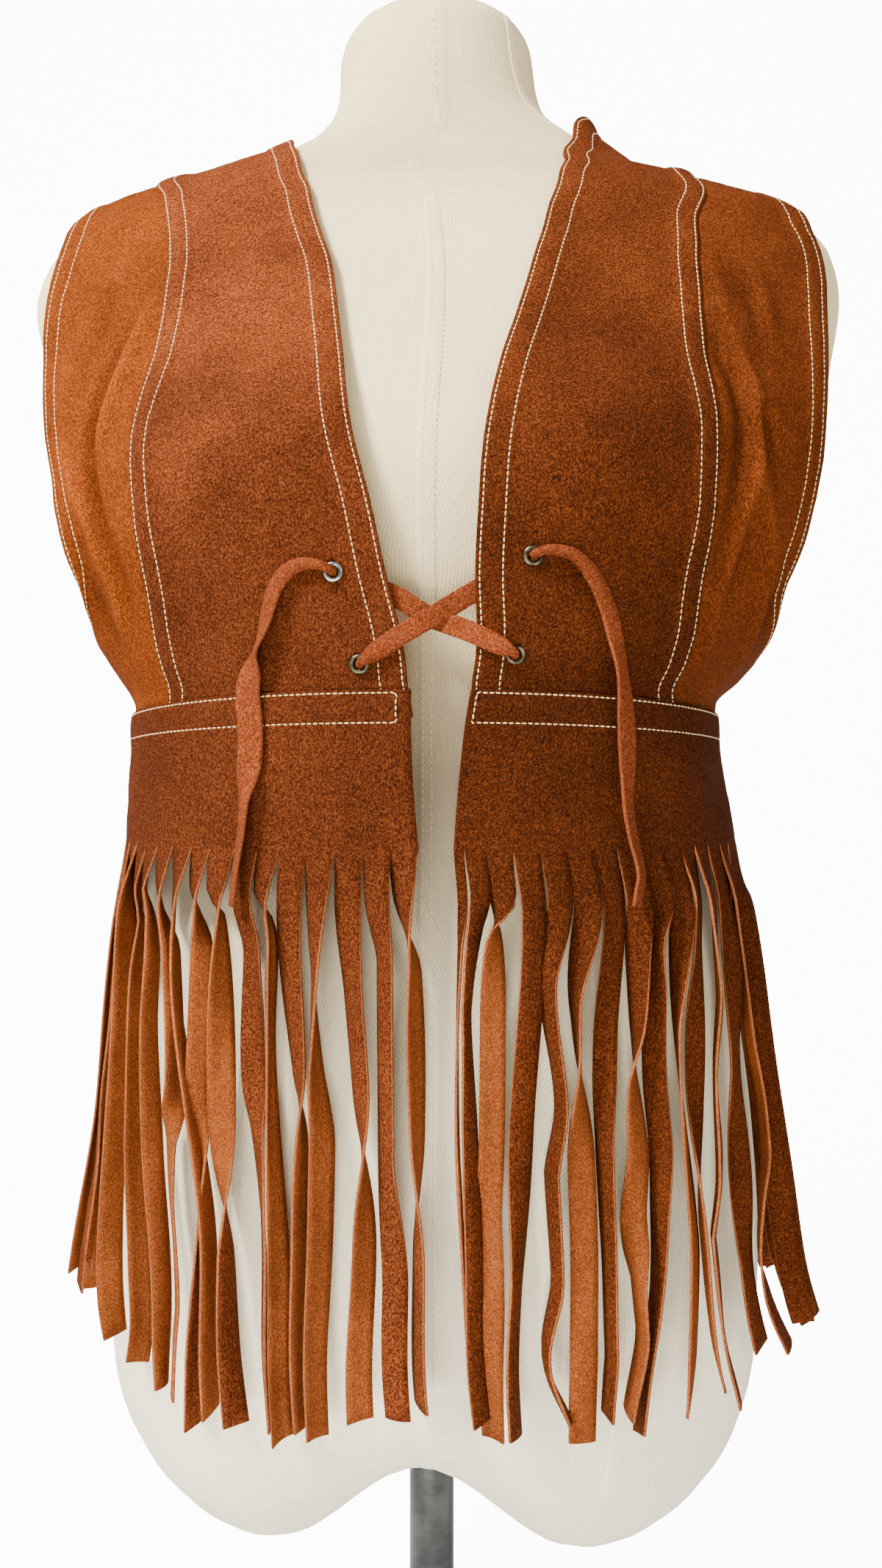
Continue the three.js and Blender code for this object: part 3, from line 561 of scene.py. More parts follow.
NICKEL = metal("bright nickel", (120, 116, 106), (186, 184, 174), 260, (900, 900, 900), 0.26)
BRASS = metal("dulled brass", (42, 36, 27), (112, 100, 72), 300, (900, 900, 900), 0.36)

EYELET_PROFILE = [
    (0.00225, -0.0024), (0.0022, -0.0004), (0.00222, 0.0003), (0.0024, 0.0008),
    (0.0028, 0.0011), (0.0033, 0.00125), (0.0038, 0.00115), (0.00425, 0.00085),
    (0.00455, 0.0004), (0.0046, 0.0001), (0.0044, 0), (0.0033, 0.0001),
    (0.003, -0.0003), (0.003, -0.0021), (0.0038, -0.0022), (0.0037, -0.0026),
    (0.0028, -0.00265),
]
for word, (z, angle) in EYELETS.items():
    foot, way = vest_point(z, angle), outward(vest_point, z, angle)
    finish = NICKEL if word == "right_upper" else BRASS
    eyelet = turned(f"eyelet_{word}_rolled", EYELET_PROFILE, [finish], 48,
                    foot + way * 0.0006, way)
    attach(eyelet, "root")
    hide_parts(f"eyelet_{word}")


# ---- Fronts ---------------------------------------------------------------------------
# Two fronts of 1.7 mm suede, from the waist to the shoulder. The front and neck edges are
# turned in and sewn down with two rows of heavy thread. The outer edges lap over the side
# fronts, and are sewn to them with two more rows.

SUEDE_THICKNESS = 0.0017
FRONT_ROWS = (0.002, 0.012)
PRINCESS_ROWS = (0.0015, 0.0105)
SHOULDER_ROWS = (0.002,)
# A sewn edge's cut is rounded off, its rows are drawn in and it puffs up between them.
EDGE_ROUNDING, ROW_SINK, ROW_PUFF = 0.00055, 0.00034, 0.0003
# Where a panel comes down to the shoulder seam, by distance from its top edge.
SHOULDER_SETTLE = (-0.002, 0.006)
THREAD_LIFT = 0.0001
EYELET_HOLE_RADIUS = 0.0032
FOLD_PLACES = 40
FINE_PLACES = 225

# Up each side: height and angle of the front edge, the princess seam and the armhole.
RIGHT_CUTS = [
    (0.629, -0.5, 0.629, 47, 0.629, 90), (0.642, 0, 0.642, 45.5, 0.642, 90),
    (0.662, 1, 0.662, 43, 0.66, 90), (0.69, 2.5, 0.69, 39.5, 0.67, 80),
    (0.725, 4, 0.725, 38, 0.697, 69), (0.76, 6, 0.762, 37, 0.738, 66),
    (0.8, 7.5, 0.8, 34, 0.79, 67), (0.845, 9.6, 0.842, 33.5, 0.845, 67),
    (0.867, 11.4, 0.861, 34, 0.867, 67.3), (0.888, 13.4, 0.878, 35.5, 0.885, 68.5),
    (0.904, 15.2, 0.893, 38, 0.896, 70.5), (0.917, 18, 0.906, 42, 0.903, 73),
    (0.927, 25.4, 0.9155, 49.5, 0.908, 75.5), (0.936, 37.3, 0.922, 58, 0.911, 78),
    (0.943, 52, 0.926, 66, 0.913, 81), (0.948, 65, 0.928, 74, 0.914, 84),
    (0.952, 90, 0.93, 90, 0.915, 90),
]
LEFT_CUTS = [
    (0.629, 8.5, 0.629, 51, 0.629, 90), (0.642, 8, 0.642, 48.5, 0.642, 90),
    (0.662, 7, 0.662, 44.5, 0.66, 90), (0.69, 6, 0.69, 40.5, 0.67, 79),
    (0.725, 6, 0.725, 39, 0.697, 67), (0.76, 6.5, 0.762, 37.5, 0.738, 64),
    (0.8, 8, 0.8, 34.5, 0.79, 64), (0.845, 10.9, 0.842, 34, 0.845, 65),
    (0.868, 13.1, 0.862, 35, 0.866, 65.5), (0.89, 15.8, 0.88, 37, 0.883, 66.5),
    (0.906, 20, 0.8945, 41, 0.8945, 69.5), (0.92, 29.2, 0.906, 46, 0.902, 73),
    (0.932, 40.3, 0.9133, 52.5, 0.907, 75.5), (0.944, 48.8, 0.918, 60, 0.91, 78),
    (0.953, 58, 0.921, 68, 0.9125, 81), (0.9585, 70, 0.9225, 76, 0.914, 84),
    (0.9635, 90, 0.924, 90, 0.915, 90),
]

# Soft folds and creases: rise, half width, and the places along each.
FRONT_FOLDS = {
    "right": [
        (0.0012, 0.009, [(0.819, -30), (0.795, -25), (0.779, -22)]),
        (0.001, 0.007, [(0.779, -22), (0.772, -26), (0.768, -29)]),
        (0.0009, 0.008, [(0.877, -18), (0.85, -19), (0.823, -20)]),
        (-0.0009, 0.01, [(0.7, -30), (0.72, -24), (0.73, -14)]),
        (0.0008, 0.012, [(0.905, -30), (0.88, -27), (0.86, -28)]),
    ],
    "left": [
        (0.001, 0.009, [(0.758, 29), (0.764, 31), (0.769, 34)]),
        (0.001, 0.01, [(0.859, 24), (0.82, 25), (0.793, 26)]),
        (-0.0009, 0.01, [(0.7, 30), (0.725, 24), (0.735, 14)]),
        (0.0009, 0.011, [(0.912, 36), (0.885, 30), (0.865, 29)]),
        (0.0008, 0.008, [(0.69, 22), (0.675, 27), (0.655, 30)]),
    ],
}

# Painted shade by height: the nap is made darkest from the waist up to the lacing, and less dark
# over the hips and the chest.
PAINTED_SHADE_BY_HEIGHT = [(0.36, 0.77), (0.5, 0.72), (0.58, 0.49), (0.67, 0.46), (0.76, 0.63), (0.87, 0.91)]
SUEDE_FACE = suede("rust suede nap", (62, 25, 11), (102, 46, 19), (152, 78, 37),
                   1300, 0.0006, PAINTED_SHADE_BY_HEIGHT)
# A copy of the front's suede that is darker all over as painted shade, for the left front and its
# peplum.
SUEDE_FACE_PAINTED_SHADE = suede("rust suede nap with painted shade", (50, 20, 7), (85, 37, 12),
                        (130, 64, 26), 1300, 0.0006, PAINTED_SHADE_BY_HEIGHT)
SUEDE_SIDE_FACE = suede("rust suede nap of the sides", (74, 29, 6), (101, 44, 10),
                        (136, 68, 20), 1150, 0.0006)
# A copy of the sides' suede that is darker all over as painted shade, for the left side front.
SUEDE_SIDE_FACE_PAINTED_SHADE = suede("rust suede nap of the left side with painted shade", (58, 24, 6), (83, 36, 10),
                             (115, 56, 20), 1150, 0.0006)
SUEDE_REVERSE = suede("suede reverse", (88, 41, 16), (116, 57, 22), (148, 80, 38),
                      1500, 0.0003)
SUEDE_EDGE = suede("cut suede edge", (110, 54, 26), (138, 74, 40), (172, 108, 68),
                   1800, 0.0003)


def thread(name, scale, detail, stops, roughness, ply=0):
    """Thread in swatch colours, with the relief of its twist where ply is given."""
    made, tree, shader, place = material(name)
    speckle = noise(tree, place, scale, detail)
    tone = ramp(tree, speckle, [(at, paint(*colour)) for at, colour in stops])
    fill(shader, {"Base Color": tone, "Roughness": roughness})
    if ply:
        twist = node(tree, "ShaderNodeTexWave", {
            "Vector": place, "Scale": ply, "Distortion": 1.5}, bands_direction="DIAGONAL")
        fill(shader, {"Normal": relief(tree, twist.outputs["Fac"], 0.0001, 0.5)})
    return made


THREAD = thread("waxed cream thread", 900, 3, [
    (0.3, (206, 160, 100)), (0.52, (238, 200, 140)), (0.75, (250, 224, 176))], 0.62, 420)


def stitching_tree():
    """Stitches laid along the edges of a mesh, at an even pitch."""
    tree, given = node_group("stitch rows", "GeometryNodeTree", [
        ("Geometry", "Geometry"), ("Thread", "Material"), ("Pitch", "Float"),
        ("Stitch length", "Float"), ("Thread thickness", "Float"), ("Lean", "Float"),
        ("Seed", "Int")], [("Geometry", "Geometry")])
    line = node(tree, "GeometryNodeMeshToCurve", {"Mesh": given["Geometry"]})
    even = node(tree, "GeometryNodeResampleCurve", {
        "Curve": line.outputs[0], "Length": given["Pitch"]}, mode="LENGTH")
    bead = node(tree, "GeometryNodeMeshUVSphere", {"Segments": 6, "Rings": 5, "Radius": 0.5})
    size = node(tree, "ShaderNodeCombineXYZ", {
        "X": given["Thread thickness"], "Y": given["Thread thickness"],
        "Z": given["Stitch length"]})
    tangent = node(tree, "GeometryNodeInputTangent")
    along = node(tree, "FunctionNodeAlignRotationToVector", {
        "Vector": tangent.outputs[0]}, axis="Z")
    lean = node(tree, "FunctionNodeRandomValue", {"Seed": given["Seed"]}, data_type="FLOAT")
    limits = {socket.name: socket for socket in lean.inputs if socket.enabled}
    tree.links.new(maths(tree, "MULTIPLY", given["Lean"], -1.0), limits["Min"])
    tree.links.new(given["Lean"], limits["Max"])
    picked = [socket for socket in lean.outputs if socket.enabled][0]
    angles = node(tree, "ShaderNodeCombineXYZ", {"X": picked, "Y": picked})
    tilt = node(tree, "FunctionNodeEulerToRotation", {0: angles.outputs[0]})
    both = node(tree, "FunctionNodeRotateRotation", {
        0: along.outputs[0], 1: tilt.outputs[0]}, rotation_space="LOCAL")
    laid = node(tree, "GeometryNodeInstanceOnPoints", {
        "Points": even.outputs[0], "Instance": bead.outputs[0],
        "Rotation": both.outputs[0], "Scale": size.outputs[0]})
    real = node(tree, "GeometryNodeRealizeInstances", {0: laid.outputs[0]})
    finished = node(tree, "GeometryNodeSetMaterial", {
        "Geometry": real.outputs[0], "Material": given["Thread"]})
    node(tree, "NodeGroupOutput", {0: finished.outputs[0]})
    return tree


STITCHING = stitching_tree()
SUEDE_STITCH = (0.0028, 0.00225, 0.00075)
STITCH_LEAN = 0.08
STITCH_SEED = 7


def sew(name, lines, finish=THREAD, stitch=SUEDE_STITCH):
    """Stitches along lines of points, as one plain mesh that rides with the vest.

    stitch gives their pitch, length and thickness.
    """
    points, edges = [], []
    for line in lines:
        start = len(points)
        points += [tuple(p) for p in line]
        edges += [(start + k, start + k + 1) for k in range(len(line) - 1)]
    guide_mesh = bpy.data.meshes.new("stitch guide")
    guide_mesh.from_pydata(points, edges, [])
    guide = add_object("stitch_guide", guide_mesh)
    modifier = guide.modifiers.new("stitch rows", "NODES")
    modifier.node_group = STITCHING
    wanted = {"Thread": finish, "Pitch": stitch[0], "Stitch length": stitch[1],
              "Thread thickness": stitch[2], "Lean": STITCH_LEAN, "Seed": STITCH_SEED}
    for item in STITCHING.interface.items_tree:
        if item.in_out == "INPUT" and item.name in wanted:
            modifier[item.identifier] = wanted[item.name]
    evaluated = guide.evaluated_get(bpy.context.evaluated_depsgraph_get())
    mesh = bpy.data.meshes.new_from_object(evaluated)
    mesh.name = name
    mesh.shade_smooth()
    guide.modifiers.remove(modifier)
    bpy.data.objects.remove(guide)
    stitches = add_object(name, mesh)
    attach(stitches, "root")
    return stitches


def smooth_step(low, high, value):
    """A smooth rise from 0 to 1 as a value goes from low to high."""
    t = np.clip((value - low) / (high - low), 0, 1)
    return t * t * (3 - 2 * t)


def ripples(points, wavelength, seed, waves=9):
    """Soft seeded waves over points, mostly from -1 to 1."""
    picker = np.random.default_rng(seed)
    total = np.zeros(points.shape[:-1])
    for _ in range(waves):
        way = unit(picker.normal(size=3))
        length = wavelength * picker.uniform(0.6, 1.6)
        total += np.sin(points @ way * (2 * np.pi / length) + picker.uniform(0, 6.28))
    return total / waves ** 0.5


def unevenness(points, broad, fine, seed):
    """Height of broad and fine waves over a sheet, each given as (height, wavelength)."""
    return (broad[0] * ripples(points, broad[1], seed)
            + fine[0] * ripples(points, fine[1], seed + 1))


def folds_over(points, folds, surface=vest_point):
    """Height that folds and creases add over points of a surface of the vest."""
    total = np.zeros(points.shape[:-1])
    for rise, half_width, places in folds:
        places = smooth_line(places, np.linspace(0, len(places) - 1, FOLD_PLACES))
        line = surface(places[:, 0], places[:, 1])
        gaps = np.linalg.norm(points[..., None, :] - line, axis=-1)
        share = gaps.argmin(axis=-1) / (FOLD_PLACES - 1)
        strength = np.sin(np.pi * (0.06 + 0.88 * share)) ** 0.7
        total += rise * strength * np.exp(-(gaps.min(axis=-1) / half_width) ** 2)
    return total


def sewn_edge(distance, rows, lift):
    """Height of an edge that is lapped or turned in and sewn down with rows of stitches.

    lift is how far its second layer raises it.
    """
    height = lift * (1 - smooth_step(rows[-1] + 0.0004, rows[-1] + 0.0035, distance))
    height -= EDGE_ROUNDING * np.exp(-(distance / 0.0006) ** 2)
    for row in rows:
        height -= ROW_SINK * np.exp(-((distance - row) / 0.0005) ** 2)
    between = np.clip((distance - rows[0]) / (rows[-1] - rows[0] + 1e-9), 0, 1)
    return height + ROW_PUFF * np.sin(np.pi * between)


def steps_in(rows):
    """Distances in from a sewn edge that take in its roundness and its rows' grooves."""
    steps = [0, 0.0004]
    for row in rows:
        steps += [row - 0.0006, row, row + 0.0006, row + 0.0014]
    if len(rows) == 2:
        steps += [rows[0] + 0.0035, (rows[0] + rows[1]) / 2, rows[1] - 0.0018]
    steps += [rows[-1] + 0.0026, rows[-1] + 0.004]
    return np.array(sorted(steps))


def row_places(rows, far=False):
    """Where rows of stitches come in a grid, from its near edge or from its far one."""
    places = [list(steps_in(rows)).index(row) for row in rows]
    return [-1 - place for place in places] if far else places


def seam_lines(outer, ways, columns, foot, rows, margin):
    """Lines of thread laid along columns and rows of a sheet's grid of outer points.

    The columns start foot places up, and the rows keep a margin at each end.
    """
    laid = outer + ways * THREAD_LIFT
    lines = [laid[foot:-2, column] for column in columns]
    return lines + [laid[row, margin[0]:-margin[1]] for row in rows]


def cut_line(cuts, column, side):
    """A cut line of one side: its height and angle by the share of the way up it."""
    numbered = np.column_stack([np.arange(len(cuts)), np.asarray(cuts, float)])

    def line(up):
        row = read_table(numbered, up * (len(cuts) - 1))
        return row[..., column + 1], side * row[..., column + 2]
    return line


def between_lines(inner, outer):
    """Places of a panel between two cut lines."""
    def place(up, along):
        inner_z, inner_angle = inner(up)
        outer_z, outer_angle = outer(up)
        return (inner_z + (outer_z - inner_z) * along,
                inner_angle + (outer_angle - inner_angle) * along)
    return place


def panel_grid(place, near_steps, far_steps, top_steps, columns, rows, surface=vest_point):
    """Places over a panel, closer together along its near, far and top edges.

    Gives heights and angles, and the distances in from those three edges.
    """
    fine = np.linspace(-0.12, 1, FINE_PLACES)
    z, angle = place(np.ones(FINE_PLACES), fine)
    lower_z, lower_angle = place(np.full(FINE_PLACES, 0.98), fine)
    reach = np.linalg.norm(surface(z, angle) - surface(lower_z, lower_angle), axis=-1) / 0.02
    top_start = 1 - top_steps[-1] / reach
    ups = [top_start * share for share in np.linspace(0, 1, rows)]
    ups += [1 - step / reach for step in top_steps[-2::-1]]
    grid = []
    for up in ups:
        z, angle = place(up, fine)
        line = surface(z, angle)
        length = np.concatenate([[0], np.cumsum(
            np.linalg.norm(np.diff(line, axis=0), axis=-1))])
        length -= np.interp(0, fine, length)
        total = length[-1]
        fit = min(1, 0.86 * total / (near_steps[-1] + far_steps[-1]))
        near, far = near_steps * fit, far_steps * fit
        middle = np.linspace(near[-1], total - far[-1], columns + 2)[1:-1]
        wanted = np.concatenate([near, middle, total - far[::-1]])
        along = np.interp(wanted, length, fine)
        z_here, angle_here = place(np.interp(along, fine, up), along)
        top = (1 - np.interp(along, fine, up)) * np.interp(along, fine, reach)
        grid.append((z_here, angle_here, wanted, total - wanted, top))
    return np.moveaxis(np.array(grid), 1, 0)


def two_layers(rows, columns, downward=False):
    """Faces and slots of a sheet's outer and inner grids, whose rows go up or down it."""
    faces, slots = [], []
    layer = rows * columns
    for j in range(rows - 1):
        for i in range(columns - 1):
            a = j * columns + i
            sides = [(a, a + 1, a + columns + 1, a + columns),
                     (a, a + columns, a + columns + 1, a + 1)]
            if downward:
                sides.reverse()
            faces += [sides[0], tuple(layer + corner for corner in sides[1])]
            slots += [0, 1]
    return faces, slots


def suede_sheet(name, outer, ways, face):
    """A closed sheet of suede under a grid of outer points. Its nap goes round its edges."""
    rows, columns = outer.shape[:2]
    inner = outer - ways * SUEDE_THICKNESS
    points = np.concatenate([outer.reshape(-1, 3), inner.reshape(-1, 3)])
    layer = rows * columns
    faces, slots = two_layers(rows, columns)
    rim = list(range(columns))
    rim += [j * columns + columns - 1 for j in range(1, rows)]
    rim += [layer - 1 - i for i in range(1, columns)]
    rim += [j * columns for j in range(rows - 2, -1, -1)]
    for a, b in zip(rim[:-1], rim[1:]):
        faces.append((a, layer + a, layer + b, b))
        slots.append(0)
    sheet = plain_mesh(name, points, faces, slots, [face, SUEDE_REVERSE, SUEDE_EDGE])
    face_outwards(sheet)
    return sheet


def punch(sheet, places, radius):
    """Round holes through a sheet, for its eyelets."""
    for z, angle in places:
        foot, way = vest_point(z, angle), outward(vest_point, z, angle)
        tool = turned("punch", [(0, -0.008), (radius, -0.008), (radius, 0.006), (0, 0.006)],
                      [SUEDE_EDGE], 24, foot, way)
        cut = sheet.modifiers.new("punch", "BOOLEAN")
        cut.operation = "DIFFERENCE"
        cut.solver = "EXACT"
        cut.object = tool
        evaluated = sheet.evaluated_get(bpy.context.evaluated_depsgraph_get())
        punched = bpy.data.meshes.new_from_object(evaluated)
        sheet.modifiers.remove(cut)
        sheet.data = punched
        bpy.data.objects.remove(tool)


# The left front's nap is darker all over as painted shade.
for word, side, cuts, face in (("right", -1, RIGHT_CUTS, SUEDE_FACE),
                               ("left", 1, LEFT_CUTS, SUEDE_FACE_PAINTED_SHADE)):
    place = between_lines(cut_line(cuts, 0, side), cut_line(cuts, 2, side))
    z, angle, near, far, top = panel_grid(
        place, steps_in(FRONT_ROWS), steps_in(PRINCESS_ROWS), steps_in(SHOULDER_ROWS), 16, 96)
    points = vest_point(z, angle)
    height = (sewn_edge(near, FRONT_ROWS, 0.0007) + sewn_edge(far, PRINCESS_ROWS, 0.0012)
              - 0.0003 * np.exp(-((top - SHOULDER_ROWS[0]) / 0.0006) ** 2)
              + folds_over(points, FRONT_FOLDS[word])
              + unevenness(points, (0.00028, 0.045), (0.0001, 0.011), 11))
    height *= smooth_step(*SHOULDER_SETTLE, top)
    ways = outward(vest_point, z, angle)
    outer = points + ways * height[..., None]
    front = suede_sheet(f"front_{word}_suede", outer, ways, face)
    punch(front, [EYELETS[f"{word}_upper"], EYELETS[f"{word}_lower"]], EYELET_HOLE_RADIUS)
    columns = row_places(FRONT_ROWS) + row_places(PRINCESS_ROWS, True)
    stitches = sew(f"front_{word}_stitches", seam_lines(
        outer, ways, columns, 3, row_places(SHOULDER_ROWS, True), (2, 2)))
    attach(front, "root")
    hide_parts(f"front_{word}")


# ---- Side fronts ----------------------------------------------------------------------
# Two narrower panels between the fronts and the armholes. Their front edges lie under the
# fronts, and their armhole edges are turned in and sewn with two rows. They hang slack,
# so they crease down from the armhole towards the waist.

ARMHOLE_ROWS = (0.004, 0.0125)
# Distances in from the front edge, which starts under the front's lap.
UNDER_STEPS = np.array([-0.008, -0.0055, -0.003, -0.0012, 0, 0.0012, 0.003, 0.0055])
# The lapped part lies at least this far below the vest's outer face.
UNDER_DEPTH = 0.00052
# The height of a fold whose ridge gets the full painted highlight, and whose crease the full
# painted shade.
FOLD_PAINTED_SHADE_RISE = {"right": 0.0036, "left": 0.0044, "back": 0.0036}
# Soft folds and creases, as on the fronts.
SIDE_FOLDS = {
    "right": [
        (0.0042, 0.0044, [(0.837, -35.5), (0.816, -37.5), (0.794, -40), (0.775, -43),
                          (0.76, -46)]),
        (-0.0042, 0.0042, [(0.832, -37), (0.808, -41.5), (0.789, -44.7), (0.772, -47),
                           (0.748, -48.2), (0.723, -47.5), (0.701, -45.6), (0.679, -45.8)]),
        (0.004, 0.0045, [(0.765, -57), (0.751, -55), (0.738, -53.5), (0.725, -50.5),
                         (0.709, -49.5), (0.69, -48.7), (0.67, -52)]),
        (-0.003, 0.007, [(0.72, -58), (0.702, -58.4), (0.679, -58), (0.665, -55)]),
        (0.0018, 0.007, [(0.834, -49), (0.81, -53.5), (0.793, -56), (0.77, -58)]),
        (-0.0018, 0.005, [(0.85, -44.5), (0.834, -45.2), (0.812, -46.3)]),
        (-0.0015, 0.004, [(0.822, -50), (0.812, -51.6), (0.8, -52.4)]),
        (0.0014, 0.006, [(0.865, -42), (0.855, -43.5), (0.845, -44)]),
    ],
    "left": [
        (0.0028, 0.0034, [(0.823, 38), (0.802, 41), (0.786, 43.5), (0.768, 45.5),
                          (0.752, 47), (0.738, 47), (0.724, 46), (0.7, 45.5), (0.682, 46)]),
        (-0.0032, 0.0038, [(0.819, 35), (0.797, 37), (0.785, 40), (0.762, 42.5),
                           (0.738, 42.7), (0.715, 42), (0.692, 42.5)]),
        (0.0023, 0.003, [(0.786, 44), (0.777, 46.5), (0.766, 51), (0.757, 56)]),
        (-0.0022, 0.0035, [(0.774, 46), (0.756, 49), (0.742, 50.5)]),
        (0.0024, 0.0045, [(0.747, 48.5), (0.731, 50), (0.7, 58), (0.681, 60.5),
                          (0.662, 65)]),
        (-0.0021, 0.004, [(0.72, 47.3), (0.703, 48), (0.682, 48)]),
        (-0.002, 0.005, [(0.695, 64), (0.68, 66), (0.665, 70)]),
        (0.0017, 0.0045, [(0.856, 44), (0.834, 46.3), (0.818, 46.7), (0.804, 50)]),
        (-0.0017, 0.0045, [(0.838, 41.5), (0.826, 43.5), (0.804, 45.7)]),
        (0.0015, 0.0045, [(0.856, 36.5), (0.84, 37), (0.823, 38)]),
        (0.0018, 0.006, [(0.675, 46.5), (0.665, 48.5), (0.655, 51)]),
    ],
}

# How far the armhole edges stand off the form by height: forward and inward.
RIGHT_STAND = [
    (0.66, 0, 0), (0.675, 0.015, 0.0065), (0.69, 0.024, 0.011), (0.705, 0.024, 0.009),
    (0.725, 0.02, 0.007), (0.76, 0.013, 0.0046), (0.8, 0.01, 0.002), (0.84, 0.012, 0.003),
    (0.875, 0.013, 0.006), (0.898, 0.009, 0.0055), (0.915, 0, 0),
]
LEFT_STAND = [
    (0.66, 0, 0), (0.675, 0.01, 0.0015), (0.69, 0.012, 0.002), (0.705, 0.006, -0.0015),
    (0.725, 0.002, -0.0046), (0.745, 0.002, -0.0055), (0.77, 0.003, -0.0045),
    (0.8, 0.007, -0.001), (0.84, 0.008, 0.002), (0.87, 0.005, -0.0005),
    (0.895, 0.006, 0.001), (0.915, 0, 0),
]


def standing_point(cuts, stand):
    """The vest's outer face where a side front stands off towards its armhole."""
    seams = [(row[2], row[3]) for row in cuts]
    edges = [(row[4], row[5]) for row in cuts]

    def surface(z, angle):
        point = vest_point(z, angle)
        seam, edge = read_table(seams, z)[..., 1], read_table(edges, z)[..., 1]
        share = np.clip((np.abs(angle) - seam) / np.maximum(edge - seam, 1), 0, 1.2)
        off = read_table(stand, z) * share[..., None] ** 2
        point[..., 0] -= np.sign(angle) * off[..., 2]
        point[..., 1] -= off[..., 1]
        return point
    return surface


def paint_fold_shade(sheet, folds, full_rise):
    """Painted highlight on a sheet's ridges and painted shade down its creases, in the nap's
    colour.
    """
    painted_fold_shade = np.zeros(len(sheet.data.vertices))
    painted_fold_shade[:folds.size] = np.clip(folds / full_rise, -1, 1).ravel()
    sheet.data.attributes.new("painted_fold_shade", "FLOAT", "POINT").data.foreach_set("value", painted_fold_shade)


# The left side front's nap is darker all over as painted shade.
for word, side, cuts, stand, face in (
        ("right", -1, RIGHT_CUTS, RIGHT_STAND, SUEDE_SIDE_FACE),
        ("left", 1, LEFT_CUTS, LEFT_STAND, SUEDE_SIDE_FACE_PAINTED_SHADE)):
    surface = standing_point(cuts, stand)
    place = between_lines(cut_line(cuts, 2, side), cut_line(cuts, 4, side))
    z, angle, near, far, top = panel_grid(
        place, UNDER_STEPS, steps_in(ARMHOLE_ROWS), steps_in(SHOULDER_ROWS), 40, 120, surface)
    points = surface(z, angle)
    folds = folds_over(points, SIDE_FOLDS[word], surface)
    settle = smooth_step(-0.001, 0.009, near)
    height = (sewn_edge(far, ARMHOLE_ROWS, 0.0006) - 0.0006 * (1 - smooth_step(0, 0.005, near))
              + folds * (0.12 + 0.88 * settle)
              + settle * unevenness(points, (0.0004, 0.04), (0.00013, 0.012), 21))
    height = np.where(near < 0.0005, np.minimum(height, -UNDER_DEPTH), height)
    height *= smooth_step(*SHOULDER_SETTLE, top)
    ways = outward(surface, z, angle)
    outer = points + ways * height[..., None]
    side_front = suede_sheet(f"side_front_{word}_suede", outer, ways, face)
    # The folds get painted highlight and painted shade in the nap's colour.
    paint_fold_shade(side_front, folds, FOLD_PAINTED_SHADE_RISE[word])
    stitches = sew(f"side_front_{word}_stitches", seam_lines(
        outer, ways, row_places(ARMHOLE_ROWS, True), 6, row_places(SHOULDER_ROWS, True), (6, 2)))
    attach(side_front, "root")
    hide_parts(f"side_front_{word}")


# ---- Back -----------------------------------------------------------------------------
# One piece of the same suede, from the waist to the shoulders and the back of the neck.
# Its armholes and neck are turned in and sewn like the front's edges.

BACK_CUTS = [
    (0.629, 90), (0.642, 90), (0.66, 90), (0.67, 98), (0.697, 107), (0.738, 112),
    (0.79, 114), (0.845, 112), (0.885, 107), (0.903, 101), (0.911, 96), (0.914, 93),
    (0.915, 90),
]
BACK_NECK = [
    (90, 0.9635), (112, 0.954), (140, 0.943), (180, 0.939), (220, 0.941), (248, 0.946),
    (270, 0.952),
]
# Each shoulder's share of the back's width.
BACK_SHOULDER = 0.3
BACK_FOLDS = [
    (0.003, 0.006, [(0.84, 124), (0.8, 128), (0.765, 136), (0.73, 142)]),
    (0.0028, 0.0065, [(0.85, 236), (0.81, 232), (0.77, 226), (0.735, 219)]),
    (-0.0023, 0.005, [(0.81, 121), (0.775, 127), (0.745, 133)]),
    (-0.0023, 0.005, [(0.8, 239), (0.765, 233), (0.74, 228)]),
    (0.002, 0.008, [(0.73, 120), (0.705, 128), (0.68, 132), (0.655, 133)]),
    (0.002, 0.008, [(0.735, 241), (0.7, 233), (0.67, 229), (0.65, 228)]),
    (0.0016, 0.009, [(0.76, 168), (0.72, 166), (0.68, 170), (0.65, 168)]),
    (0.0014, 0.009, [(0.745, 193), (0.71, 196), (0.67, 193)]),
    (-0.0014, 0.008, [(0.72, 152), (0.69, 150), (0.655, 151)]),
    (-0.0014, 0.008, [(0.73, 210), (0.69, 212), (0.66, 210)]),
    (0.0014, 0.011, [(0.895, 140), (0.885, 165), (0.888, 195), (0.898, 220)]),
    (0.0012, 0.01, [(0.86, 152), (0.852, 172), (0.858, 190)]),
]

back_edge = cut_line(BACK_CUTS, 0, 1)


def back_place(up, along):
    """Places of the back, blended from its foot, its sides and its top edge."""
    up, along = np.broadcast_arrays(np.asarray(up, float), np.asarray(along, float))
    shoulder_z = BACK_CUTS[-1][0]
    top_angle = np.clip(90 + 180 * (along - BACK_SHOULDER) / (1 - 2 * BACK_SHOULDER), 90, 270)
    neck = read_table(BACK_NECK, top_angle)[..., 1]
    from_tip = np.clip(np.minimum(along, 1 - along) / BACK_SHOULDER, 0, 1)
    top_z = shoulder_z + (neck - shoulder_z) * from_tip
    side_z, side_angle = back_edge(up)
    foot_angle = 90 + 180 * along
    z = side_z + (top_z - shoulder_z) * up
    angle = (top_angle - foot_angle) * up + side_angle + (360 - 2 * side_angle) * along
    return z, np.clip(angle, 90, 270)


